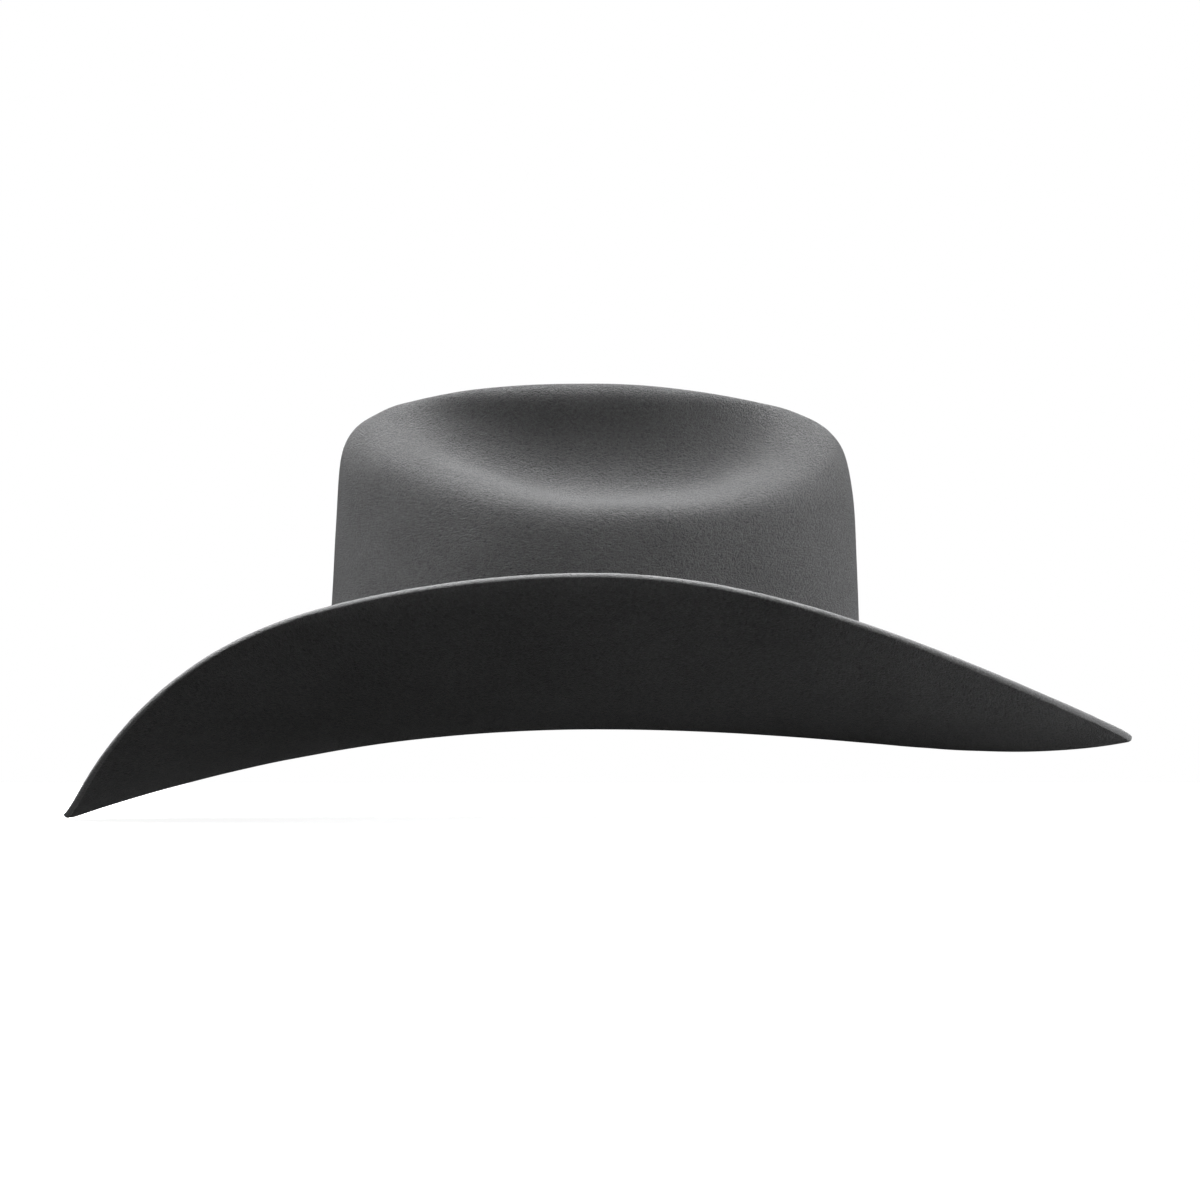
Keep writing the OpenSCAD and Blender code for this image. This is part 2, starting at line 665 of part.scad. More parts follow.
module lining_patch() color(RIBBON)
    translate([0, 0, lining_top - satin - 0.3 - hair])
        linear_extrude(0.3)
            polygon(ellipse(patch_length, patch_width));

module patch_film() color([0.9, 0.9, 0.9, 0.4])
    translate([0, 0, lining_top - satin - 0.6 - 2 * hair])
        linear_extrude(0.3 - hair)
            polygon(ellipse(patch_length + 12, patch_width + 12));

felt_crown();
felt_brim();
hatband();
fold_stitches();
band_tacks();
buckle_frame();
buckle_bar();
buckle_tongue();
keeper();
band_tip();
sweatband();
sweatband_reed();
reed_tape();
attaching_stitches();
leather_stitches();
seam_stitches();
bow_loops();
bow_knot();
bow_tails();
size_tag();
lining_side();
lining_top_panel();
lining_gimp();
lining_patch();
patch_film();
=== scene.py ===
"""Western felt hat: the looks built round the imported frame.

Every piece is made in metres in the frame's own axes: +Z up, the front of the
hat towards -Y and the wearer's left towards +X. Angles run from the front
(0 degrees) round the wearer's left side (90) to the back (180).
"""
import logging
import math
from dataclasses import dataclass
from enum import Enum
from typing import Callable, Sequence

import bmesh
import bpy
import numpy as np
from mathutils import Matrix, Vector, noise


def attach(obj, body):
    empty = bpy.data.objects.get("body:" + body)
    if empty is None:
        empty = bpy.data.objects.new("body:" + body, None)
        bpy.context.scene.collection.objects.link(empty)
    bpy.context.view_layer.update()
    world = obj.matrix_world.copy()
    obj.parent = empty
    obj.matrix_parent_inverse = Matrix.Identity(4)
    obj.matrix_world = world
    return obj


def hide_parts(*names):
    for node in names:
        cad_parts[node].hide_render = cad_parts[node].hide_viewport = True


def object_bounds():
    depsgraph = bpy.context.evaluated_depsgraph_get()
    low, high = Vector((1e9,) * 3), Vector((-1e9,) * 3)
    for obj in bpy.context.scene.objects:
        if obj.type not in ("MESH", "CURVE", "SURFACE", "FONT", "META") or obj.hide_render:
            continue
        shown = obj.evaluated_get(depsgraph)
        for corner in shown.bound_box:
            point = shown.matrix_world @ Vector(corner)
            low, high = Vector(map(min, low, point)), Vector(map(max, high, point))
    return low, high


Array = np.ndarray
Piece = bpy.types.Object
Material = bpy.types.Material
Socket = bpy.types.NodeSocket
Colour = tuple[float, float, float]

LOG = logging.getLogger("hat")
MM = 0.001

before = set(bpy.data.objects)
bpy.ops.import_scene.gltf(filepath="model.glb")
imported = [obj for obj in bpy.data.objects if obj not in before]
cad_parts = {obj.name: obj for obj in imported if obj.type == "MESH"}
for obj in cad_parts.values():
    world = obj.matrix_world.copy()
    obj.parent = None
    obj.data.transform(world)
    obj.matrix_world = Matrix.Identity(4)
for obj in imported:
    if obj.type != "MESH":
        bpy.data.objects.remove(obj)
cad_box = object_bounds()


# ---- Choices and sizes ----

class Body(Enum):
    """Moving bodies of the hat, by their names in the frame."""

    HAT = "hat"
    BUCKLE = "buckle"
    TONGUE = "tongue"
    KEEPER = "keeper_loop"


class Slot(Enum):
    """Material slots of the hat, by their names in the record."""

    FELT = "felt"
    METAL = "buckle_metal"
    LEATHER = "leather"
    REED = "reed"
    SATIN = "satin"
    RIBBON = "ribbon"
    THREAD = "thread"
    LABEL = "label_cloth"
    PATCH = "patch_cloth"
    FILM = "film"


@dataclass(frozen=True)
class FrontSideBack:
    """A size that changes round the hat.

    Attributes:
        front: Its value at the front.
        side: Its value at both sides.
        back: Its value at the back.
    """

    front: float
    side: float
    back: float

    def at(self, u: Array, front_power: float = 2.0, back_power: float = 2.0) -> Array:
        """Gives the value round the hat.

        Args:
            u: Angles in degrees.
            front_power: How sharply the value leaves the front.
            back_power: How sharply the value leaves the back.

        Returns:
            One value for each angle.
        """
        c = np.cos(np.radians(u))
        ease = 1 - np.abs(c) ** np.where(c > 0, front_power, back_power)
        return np.where(c > 0, self.front, self.back) * (1 - ease) + self.side * ease


@dataclass(frozen=True)
class CrownRing:
    """One control ring of the crown above its straight wall.

    Attributes:
        width: Half width, as a share of the base oval.
        front: Reach to the front, as a share of the base oval.
        back: Reach to the back, as a share of the base oval.
        height: Height round the ring, as a share of the crown's height.
        square: Squareness of the ring, 1 for an ellipse.
        front_power: How sharply the height leaves the front.
        back_power: How sharply the height leaves the back.
    """

    width: float
    front: float
    back: float
    height: FrontSideBack
    square: float = 1.0
    front_power: float = 2.0
    back_power: float = 2.0


@dataclass(frozen=True)
class HatSizes:
    """Driving sizes of the hat, in metres and degrees.

    They are the frame's own, except that the walls of the side dents are a little steeper.
    """

    half_width: float = 85.75 * MM
    half_length: float = 104.25 * MM
    break_height: FrontSideBack = FrontSideBack(-5 * MM, 4 * MM, -2 * MM)
    crown_height: float = 133.5 * MM
    crown_felt: float = 1.8 * MM
    lean: FrontSideBack = FrontSideBack(0.058, 0.045, 0.031)
    wall_low: float = 30 * MM
    wall_high: float = 56 * MM
    brim_width: FrontSideBack = FrontSideBack(101 * MM, 99.5 * MM, 100.5 * MM)
    brim_felt: float = 2.2 * MM
    break_radius: float = 4 * MM
    start_slope: FrontSideBack = FrontSideBack(-13.5, -10, -6)
    edge_slope: FrontSideBack = FrontSideBack(-20, 84, 11.5)
    nose_spread: float = 33.0
    late_curl: FrontSideBack = FrontSideBack(1.2, 0.0, 0.9)
    band_height: float = 18 * MM
    band_felt: float = 1.2 * MM
    band_lift: float = 5 * MM
    band_gap: float = 0.2 * MM
    sweat_gap: float = 0.6 * MM
    sweat_leather: float = 1.1 * MM
    sweat_height: float = 50 * MM
    lining_top: float = 78.775 * MM
    rings: tuple[CrownRing, ...] = (
        CrownRing(0.96, 0.948, 0.975, FrontSideBack(0.66, 0.565, 0.615)),
        CrownRing(0.94, 0.94, 0.965, FrontSideBack(0.78, 0.62, 0.705), 1.0, 1.8, 2.5),
        CrownRing(0.885, 0.92, 0.942, FrontSideBack(0.84, 0.636, 0.81), 1.0, 1.7, 3.0),
        CrownRing(0.77, 0.875, 0.897, FrontSideBack(0.89, 0.65, 0.86), 1.0, 1.7, 3.0),
        CrownRing(0.575, 0.805, 0.845, FrontSideBack(0.92, 0.67, 0.895), 0.98, 1.8, 2.8),
        CrownRing(0.46, 0.744, 0.772, FrontSideBack(0.945, 0.73, 0.92), 0.96, 1.9, 2.4),
        CrownRing(0.442, 0.685, 0.707, FrontSideBack(0.955, 0.88, 0.94), 0.9),
        CrownRing(0.48, 0.638, 0.643, FrontSideBack(0.963, 1.004, 0.948), 0.84, 3.0, 1.8),
        CrownRing(0.31, 0.58, 0.595, FrontSideBack(0.96, 0.992, 0.94), 0.87, 2.5, 1.5),
        CrownRing(0.15, 0.51, 0.537, FrontSideBack(0.914, 0.914, 0.906), 0.9),
        CrownRing(0.05, 0.44, 0.48, FrontSideBack(0.884, 0.846, 0.884), 0.9),
    )

    @property
    def band_middle(self) -> float:
        """Height of the band's middle above the brim break."""
        return self.band_lift + self.band_height / 2

    @property
    def leather_inset(self) -> float:
        """Distance in from the crown's outer face to the leather."""
        return self.crown_felt + self.sweat_gap


# ---- Mesh tools ----

def unit(vectors: Array) -> Array:
    """Scales vectors, with xyz last, to a length of 1."""
    return vectors / np.linalg.norm(vectors, axis=-1, keepdims=True)


def full_turn(count: int) -> Array:
    """Gives evenly spaced angles round a circle, in radians."""
    return 2 * math.pi * np.arange(count) / count


def directions(path: Array, closed: bool = False) -> Array:
    """Gives the direction of a path at each of its points."""
    steps = np.roll(path, -1, 0) - np.roll(path, 1, 0) if closed else np.gradient(path, axis=0)
    return unit(steps)


class Workshop:
    """Turns arrays of points into pieces and files them in the frame."""

    @staticmethod
    def mesh(name: str, points: Array, faces: Sequence[Sequence[int]]) -> Piece:
        """Makes a smooth mesh object.

        Args:
            name: The piece's name.
            points: Corner positions, one row each.
            faces: Corner numbers of each face.

        Returns:
            The new object, linked to the scene.
        """
        data = bpy.data.meshes.new(name)
        data.from_pydata(np.asarray(points, float).reshape(-1, 3).tolist(), [], list(faces))
        data.update()
        data.polygons.foreach_set("use_smooth", [True] * len(data.polygons))
        piece = bpy.data.objects.new(name, data)
        bpy.context.scene.collection.objects.link(piece)
        return piece

    @staticmethod
    def grid_faces(rows: int, cols: int, ring_rows: bool, ring_cols: bool,
                   start: int = 0) -> list[tuple[int, int, int, int]]:
        """Gives the quads of a grid of points.

        Args:
            rows: Number of rows.
            cols: Number of points in a row.
            ring_rows: Whether the last row joins the first.
            ring_cols: Whether a row's last point joins its first.
            start: Number of the grid's first point.

        Returns:
            Corner numbers of each quad.
        """
        faces = []
        for i in range(rows if ring_rows else rows - 1):
            for j in range(cols if ring_cols else cols - 1):
                a, b = i % rows, (i + 1) % rows
                c, d = j % cols, (j + 1) % cols
                faces.append((start + a * cols + c, start + b * cols + c,
                              start + b * cols + d, start + a * cols + d))
        return faces

    @classmethod
    def skin(cls, name: str, sections: Array, closed: bool = False) -> Piece:
        """Skins a row of closed sections.

        Args:
            name: The piece's name.
            sections: Points as (section, point, xyz).
            closed: Whether the last section joins the first.

        Returns:
            A closed mesh.
        """
        count, size, _ = sections.shape
        faces: list[Sequence[int]] = list(cls.grid_faces(count, size, closed, True))
        if not closed:
            faces.append(tuple(range(size)))
            faces.append(tuple(range(count * size - 1, (count - 1) * size - 1, -1)))
        piece = cls.mesh(name, sections, faces)
        cls.face_outwards(piece)
        return piece

    @staticmethod
    def face_outwards(piece: Piece, merge: float = 0.0) -> None:
        """Turns every face of a closed mesh outwards.

        Args:
            piece: The mesh.
            merge: Distance under which corners are joined first, and loose ones removed.
        """
        work = bmesh.new()
        work.from_mesh(piece.data)
        if merge:
            bmesh.ops.remove_doubles(work, verts=work.verts, dist=merge)
            loose = [v for v in work.verts if not v.link_faces]
            bmesh.ops.delete(work, geom=loose, context="VERTS")
        bmesh.ops.recalc_face_normals(work, faces=work.faces)
        work.to_mesh(piece.data)
        work.free()

    @classmethod
    def tube(cls, name: str, path: Array, radius: float | Array, closed: bool = False,
             sides: int = 12) -> Piece:
        """Skins the sections of a tube."""
        return cls.skin(name, cls.tube_sections(path, radius, closed, sides), closed)

    @staticmethod
    def tube_sections(path: Array, radius: float | Array, closed: bool = False,
                      sides: int = 12) -> Array:
        """Gives the sections of a tube that turns as little as it can.

        Args:
            path: Points as (point, xyz).
            radius: One radius, or one for each point or each point and side.
            closed: Whether the path is a ring.
            sides: Points in the section.

        Returns:
            Points as (section, point, xyz).
        """
        path = np.asarray(path, float)
        along = directions(path, closed)
        helper = np.array([0, 0, 1.0]) if abs(along[0, 2]) < 0.9 else np.array([1.0, 0, 0])
        across = np.cross(along[0], helper)
        sides_at = []
        for t in along:
            across = unit(across - t * across.dot(t))
            sides_at.append(across)
        first = np.array(sides_at)
        second = np.cross(along, first)
        angle = full_turn(sides)
        size = np.asarray(radius, float)
        if size.ndim == 0:
            size = np.full((len(path), sides), float(size))
        elif size.ndim == 1:
            size = np.repeat(size[:, None], sides, 1)
        return (path[:, None] + size[..., None] * (np.cos(angle)[None, :, None] * first[:, None]
                                                  + np.sin(angle)[None, :, None] * second[:, None]))

    @staticmethod
    def join(name: str, pieces: Sequence[Piece]) -> Piece:
        """Joins meshes that are one physical piece into one object.

        Args:
            name: The piece's name.
            pieces: The meshes, which are used up.

        Returns:
            The new object.
        """
        points: list[tuple[float, float, float]] = []
        faces: list[tuple[int, ...]] = []
        for piece in pieces:
            start = len(points)
            points.extend(tuple(v.co) for v in piece.data.vertices)
            faces.extend(tuple(start + i for i in p.vertices) for p in piece.data.polygons)
            bpy.data.objects.remove(piece)
        return Workshop.mesh(name, np.array(points), faces)

    @staticmethod
    def modify(piece: Piece, kind: str, **settings: object) -> None:
        """Adds a modifier and applies it at once.

        Args:
            piece: The mesh to change.
            kind: The modifier's type.
            **settings: Its settings.
        """
        modifier = piece.modifiers.new(kind.lower(), kind)
        for key, value in settings.items():
            setattr(modifier, key, value)
        bpy.context.view_layer.update()
        graph = bpy.context.evaluated_depsgraph_get()
        data = bpy.data.meshes.new_from_object(piece.evaluated_get(graph))
        piece.modifiers.clear()
        piece.data = data

    @classmethod
    def carve(cls, piece: Piece, tool: Piece,
              how: str = "DIFFERENCE") -> None:
        """Cuts a closed mesh with another, or joins it on, and uses the other up."""
        cls.modify(piece, "BOOLEAN", operation=how, object=tool, solver="EXACT")
        bpy.data.objects.remove(tool)

    @classmethod
    def rounded_box(cls, name: str, low: Sequence[float], high: Sequence[float],
                    radius: float) -> Piece:
        """Makes a box whose y and z corners are round.

        Args:
            name: The piece's name.
            low: Its lowest corner.
            high: Its highest corner.
            radius: Radius of the corners, seen along x.

        Returns:
            The box.
        """
        section = []
        for y, z, start in ((high[1], high[2], 0), (low[1], high[2], 90), (low[1], low[2], 180),
                            (high[1], low[2], 270)):
            cy = y - radius if y == high[1] else y + radius
            cz = z - radius if z == high[2] else z + radius
            for a in np.radians(start + np.linspace(0, 90, 7)):
                section.append((cy + radius * math.cos(a), cz + radius * math.sin(a)))
        return cls.skin(name, np.array([[(x, y, z) for y, z in section]
                                        for x in (low[0], high[0])]))

    @staticmethod
    def spline(points: Sequence[Sequence[float]], steps: int) -> Array:
        """Runs a smooth curve through points that may be unevenly spaced.

        Args:
            points: Points as (point, value).
            steps: Steps between two points.

        Returns:
            Points of the curve, the given ones among them.
        """
        p = np.asarray(points, float)
        gap = np.sqrt(np.linalg.norm(np.diff(p, axis=0), axis=1))[:, None]
        slope = np.diff(p, axis=0) / gap
        inner = (slope[:-1] * gap[1:] + slope[1:] * gap[:-1]) / (gap[:-1] + gap[1:])
        pull = np.vstack([slope[:1], inner, slope[-1:]])
        t = (np.arange(steps) / steps)[:, None]
        runs = []
        for a, b, m, n, g in zip(p[:-1], p[1:], pull[:-1], pull[1:], gap):
            runs.append((2 * t ** 3 - 3 * t ** 2 + 1) * a + (t ** 3 - 2 * t ** 2 + t) * g * m
                        + (3 * t ** 2 - 2 * t ** 3) * b + (t ** 3 - t ** 2) * g * n)
        return np.vstack(runs + [p[-1:]])

    @staticmethod
    def file(piece: Piece, body: Body, slot: Slot, material: Material,
             *stands_for: str) -> Piece:
        """Dresses a piece and files it in the frame.

        Args:
            piece: The finished object.
            body: The body it moves with.
            slot: The record's slot for its finish; not used.
            material: Its finish.
            *stands_for: The frame's nodes that it replaces.

        Returns:
            The same object.
        """
        if not piece.data.materials:
            piece.data.materials.append(material)
        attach(piece, body.value)
        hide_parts(*stands_for)
        LOG.info("%s rides on %s with %d faces", piece.name, body.value, len(piece.data.polygons))
        return piece


# ---- Finishes ----

class Graph:
    """A small builder for a material's nodes."""

    def __init__(self, name: str) -> None:
        """Starts a material with its shader.

        Args:
            name: The material's name.
        """
        self.material = bpy.data.materials.new(name)
        self.material.use_nodes = True
        self.tree = self.material.node_tree
        self.shader = self.tree.nodes["Principled BSDF"]

    def node(self, kind: str, inputs: dict[str | int, object] | None = None,
             **settings: object) -> bpy.types.Node:
        """Adds a node.

        Args:
            kind: The node's type.
            inputs: Values or sockets for its inputs.
            **settings: Its own settings.

        Returns:
            The new node.
        """
        made = self.tree.nodes.new(kind)
        for key, value in settings.items():
            setattr(made, key, value)
        for key, value in (inputs or {}).items():
            self.feed(made.inputs[key], value)
        return made

    def feed(self, socket: Socket, value: object) -> None:
        """Links a socket to another, or sets its value.

        Args:
            socket: The input.
            value: An output to link it to, or its own value.
        """
        if isinstance(value, Socket):
            self.tree.links.new(value, socket)
        else:
            socket.default_value = value

    def place(self, stretch: Sequence[float] = (1, 1, 1)) -> Socket:
        """Gives the place on the piece, stretched along its axes."""
        where = self.node("ShaderNodeTexCoord").outputs["Object"]
        return self.node("ShaderNodeMapping", {"Vector": where, "Scale": tuple(stretch)}).outputs[0]

    def noise(self, where: Socket, scale: float, detail: float = 3.0,
              rough: float = 0.6, warp: float = 0.0) -> Socket:
        """Adds cloudy noise and gives its strength."""
        return self.node("ShaderNodeTexNoise", {"Vector": where, "Scale": scale, "Detail": detail,
                                                "Roughness": rough, "Distortion": warp}
                         ).outputs["Fac"]

    def math(self, how: str, a: object, b: object) -> Socket:
        """Adds a sum, product or the like of two numbers."""
        return self.node("ShaderNodeMath", {0: a, 1: b}, operation=how).outputs[0]

    def scaled(self, value: Socket, factor: float, plus: object) -> Socket:
        """Multiplies a number by a factor and adds another number."""
        return self.math("ADD", self.math("MULTIPLY", value, factor), plus)

    def blend(self, a: Socket, b: Socket, share: float) -> Socket:
        """Adds two numbers, of which the second has the given share."""
        return self.scaled(a, 1 - share, self.math("MULTIPLY", b, share))

    def ramp(self, fac: Socket, stops: Sequence[tuple[float, Sequence[float]]]
             ) -> Socket:
        """Turns a number into a colour.

        Args:
            fac: The number.
            stops: Places from 0 to 1 with their colours.

        Returns:
            The colour.
        """
        made = self.node("ShaderNodeValToRGB", {"Fac": fac})
        while len(made.color_ramp.elements) < len(stops):
            made.color_ramp.elements.new(0.5)
        for element, (place, colour) in zip(made.color_ramp.elements, stops):
            element.position = place
            element.color = (*colour, 1.0)
        return made.outputs["Color"]

    def bump(self, height: Socket, distance: float, strength: float = 1.0,
             under: Socket | None = None) -> Socket:
        """Adds relief and gives the bent normal.

        Args:
            height: The relief's height.
            distance: What a height of 1 stands for, in metres.
            strength: Strength of the effect.
            under: Relief that lies under this one.

        Returns:
            The normal.
        """
        inputs: dict[str | int, object] = {"Height": height, "Distance": distance,
                                           "Strength": strength}
        if under is not None:
            inputs["Normal"] = under
        return self.node("ShaderNodeBump", inputs).outputs[0]

    def finish(self, colour: object, roughness: object, normal: object | None = None,
               **uniform: object) -> Material:
        """Wires the shader.

        Args:
            colour: Base colour.
            roughness: Roughness.
            normal: The bent normal.
            **uniform: Values set on the shader's own sockets, with _ for a space.

        Returns:
            The finished material.
        """
        self.feed(self.shader.inputs["Base Color"], colour)
        self.feed(self.shader.inputs["Roughness"], roughness)
        if normal is not None:
            self.feed(self.shader.inputs["Normal"], normal)
        for key, value in uniform.items():
            self.shader.inputs[key.replace("_", " ")].default_value = value
        return self.material


def grey(value: float, warm: float = 0.0) -> Colour:
    """Gives a grey, a little warm or cool."""
    return value * (1 + warm), value, value * (1 - warm)


def shade(tone: Colour, share: float) -> Colour:
    """Gives a darker or lighter shade of a colour."""
    return tone[0] * share, tone[1] * share, tone[2] * share


@dataclass(frozen=True)
class FeltFinish:
    """Fur felt with a fine matted grain that lies round the hat.

    Attributes:
        name: The material's name.
        tone: Reflectance of the felt.
        contrast: How far its fibres differ in tone.
        relief: Height of the grain.
        sheen: Weight of the soft glow at glancing angles.
    """

    name: str = "felt"
    tone: float = 0.094
    contrast: float = 0.55
    relief: float = 6.5 * MM
    sheen: float = 0.22

    def material(self) -> Material:
        """Builds the finish."""
        g = Graph(self.name)
        where = g.place((1, 1, 1.5))
        matted = g.noise(where, 760, 3.0, 0.6, 1.2)
        fibres = g.noise(where, 1900, 2.0, 0.5, 0.8)
        clouds = g.noise(where, 26, 3.0, 0.55)
        grain = g.blend(matted, fibres, 0.32)
        tone = g.blend(grain, clouds, 0.2)
        dark, light = self.tone * (1 - self.contrast), self.tone * (1 + self.contrast)
        colour = g.ramp(tone, [(0.32, grey(dark, -0.008)), (0.68, grey(light, -0.004))])
        rough = g.scaled(fibres, 0.12, 0.84)
        return g.finish(colour, rough, g.bump(grain, self.relief, 0.9), Sheen_Weight=self.sheen,
                        Sheen_Roughness=0.42, Sheen_Tint=(0.75, 0.76, 0.78, 1),
                        Specular_IOR_Level=0.25)


@dataclass(frozen=True)
class MetalFinish:
    """Silver-coloured plate with darkened hollows and light scratches.

    Attributes:
        tone: Reflectance of the plate.
        roughness: Roughness of the polished faces.
    """

    tone: float = 0.66
    roughness: float = 0.2

    def material(self) -> Material:
        """Builds the finish."""
        g = Graph("buckle_metal")
        where = g.place()
        wear = g.noise(where, 240, 4.0)
        scratches = g.noise(g.place((900, 900, 5200)), 1.0, 2.0)
        # Base colour goes nearly black in concave hollows, where Pointiness is low, and darker in
        # noisy wear blotches.
        hollow = g.node("ShaderNodeNewGeometry").outputs["Pointiness"]
        hollow_and_wear_darkening = g.scaled(wear, 0.06, hollow)
        colour = g.ramp(hollow_and_wear_darkening, [(0.44, grey(0.06, 0.02)), (0.52, grey(self.tone, 0.012))])
        rough = g.scaled(wear, 0.18, self.roughness - 0.06)
        return g.finish(colour, rough, g.bump(scratches, 0.01 * MM, 0.35), Metallic=1.0)


@dataclass(frozen=True)
class LeatherFinish:
    """Thin smooth sweatband leather with pores and soft creases.

    Attributes:
        tone: Colour of the leather.
    """

    tone: Colour = (0.052, 0.036, 0.028)

    def material(self) -> Material:
        """Builds the finish."""
        g = Graph("leather")
        where = g.place()
        cells = g.node("ShaderNodeTexVoronoi", {"Vector": where, "Scale": 1100.0},
                       feature="DISTANCE_TO_EDGE").outputs["Distance"]
        creases = g.noise(where, 170, 5.0, 0.6)
        clouds = g.noise(where, 30, 3.0)
        colour = g.ramp(g.blend(clouds, creases, 0.3),
                        [(0.35, shade(self.tone, 0.68)), (0.68, shade(self.tone, 1.4))])
        relief = g.bump(creases, 0.22 * MM, 0.5, g.bump(cells, 0.3 * MM, 0.35))
        rough = g.scaled(creases, 0.3, 0.3)
        return g.finish(colour, rough, relief, Coat_Weight=0.12, Coat_Roughness=0.35)


@dataclass(frozen=True)
class WovenFinish:
    """Cloth with ribs or threads that run across the piece.

    Attributes:
        name: The material's name.
        tone: Colour of the cloth.
        pitch: Distance between threads.
        axis: The axis that the ribs are counted along.
        relief: Height of a thread.
        roughness: Roughness of the cloth.
        gloss: How strongly it shines along its threads.
    """

    name: str
    tone: Colour
    pitch: float
    axis: str = "Z"
    relief: float = 0.08 * MM
    roughness: float = 0.75
    gloss: float = 0.0

    def material(self) -> Material:
        """Builds the finish."""
        g = Graph(self.name)
        where = g.place()
        split = g.node("ShaderNodeSeparateXYZ", {0: where})
        turns = g.math("MULTIPLY", split.outputs[self.axis], 2 * math.pi / self.pitch)
        ribs = g.scaled(g.math("SINE", turns, 0.0), 0.5, 0.5)
        clouds = g.noise(where, 120, 4.0)
        colour = g.ramp(g.blend(ribs, clouds, 0.45),
                        [(0.2, shade(self.tone, 0.6)), (0.8, shade(self.tone, 1.25))])
        rough = g.scaled(clouds, 0.14, self.roughness - 0.07)
        return g.finish(colour, rough, g.bump(ribs, self.relief, 0.8), Sheen_Weight=0.15,
                        Sheen_Roughness=0.4, Anisotropic=self.gloss)


@dataclass(frozen=True)
class SatinFinish:
    """Bright satin with a fine twill and soft crumples.

    Attributes:
        tone: Colour of the satin.
    """

    tone: Colour = (0.33, 0.34, 0.37)

    def material(self) -> Material:
        """Builds the finish."""
        g = Graph("satin")
        where = g.place()
        twill = g.node("ShaderNodeTexWave", {"Vector": where, "Scale": 1500.0, "Distortion": 0.6,
                                             "Detail": 1.0}, bands_direction="DIAGONAL"
                       ).outputs["Fac"]
        crumples = g.noise(where, 70, 4.0, 0.5)
        colour = g.ramp(crumples, [(0.3, shade(self.tone, 0.82)), (0.7, shade(self.tone, 1.12))])
        relief = g.bump(crumples, 0.8 * MM, 0.35, g.bump(twill, 0.03 * MM, 0.5))
        rough = g.scaled(crumples, 0.12, 0.26)
        return g.finish(colour, rough, relief, Specular_IOR_Level=0.7, Anisotropic=0.5,
                        Sheen_Weight=0.3, Sheen_Roughness=0.3)


@dataclass(frozen=True)
class PlainFinish:
    """Plastic or thread with a slight unevenness.

    Attributes:
        name: The material's name.
        tone: Its colour.
        roughness: Its roughness.
        scale: Scale of the unevenness.
    """

    name: str
    tone: Colour
    roughness: float
    scale: float = 900.0

    def material(self) -> Material:
        """Builds the finish."""
        g = Graph(self.name)
        cloud = g.noise(g.place(), self.scale, 3.0)
        colour = g.ramp(cloud, [(0.3, shade(self.tone, 0.7)), (0.7, shade(self.tone, 1.3))])
        rough = g.scaled(cloud, 0.15, self.roughness - 0.07)
        return g.finish(colour, rough, g.bump(cloud, 0.08 * MM, 0.6))


@dataclass(frozen=True)
class FilmFinish:
    """Clear flexible film with faint ripples.

    Attributes:
        roughness: Roughness of its faces.
    """

    roughness: float = 0.12

    def material(self) -> Material:
        """Builds the finish."""
        g = Graph("film")
        ripples = g.noise(g.place(), 55, 2.0)
        colour = g.ramp(ripples, [(0.3, (0.86, 0.87, 0.88)), (0.7, (0.93, 0.94, 0.95))])
        rough = g.scaled(ripples, 0.05, self.roughness - 0.03)
        return g.finish(colour, rough, g.bump(ripples, 0.7 * MM, 0.4), Alpha=0.28, IOR=1.46)


class Finishes:
    """All of the hat's finishes, each built once."""

    def __init__(self) -> None:
        """Builds the finishes."""
        self.felt = FeltFinish().material()
        self.cut_felt = FeltFinish("felt_cut_edge", tone=0.16, contrast=0.34, relief=1.2 * MM,
                                   sheen=0.3).material()
        self.metal = MetalFinish().material()
        self.leather = LeatherFinish().material()
        self.reed = PlainFinish("reed", (0.55, 0.53, 0.46), 0.45).material()
        self.satin = SatinFinish().material()
        self.ribbon = WovenFinish("ribbon", (0.022, 0.022, 0.025), 0.7 * MM, "Y",
                                  0.18 * MM).material()
        self.tape = WovenFinish("reed_tape_cloth", (0.024, 0.023, 0.023), 0.5 * MM, "Z",
                                0.06 * MM, 0.6).material()
        self.thread = PlainFinish("thread", (0.085, 0.083, 0.08), 0.6, 2600).material()
        self.label = WovenFinish("label_cloth", (0.6, 0.585, 0.54), 0.32 * MM, "Z", 0.03 * MM,
                                 0.5).material()
        self.patch = WovenFinish("patch_cloth", (0.075, 0.075, 0.082), 0.45 * MM, "Y",
                                 0.05 * MM, 0.55).material()
        self.film = FilmFinish().material()


# ---- The felt's shape ----

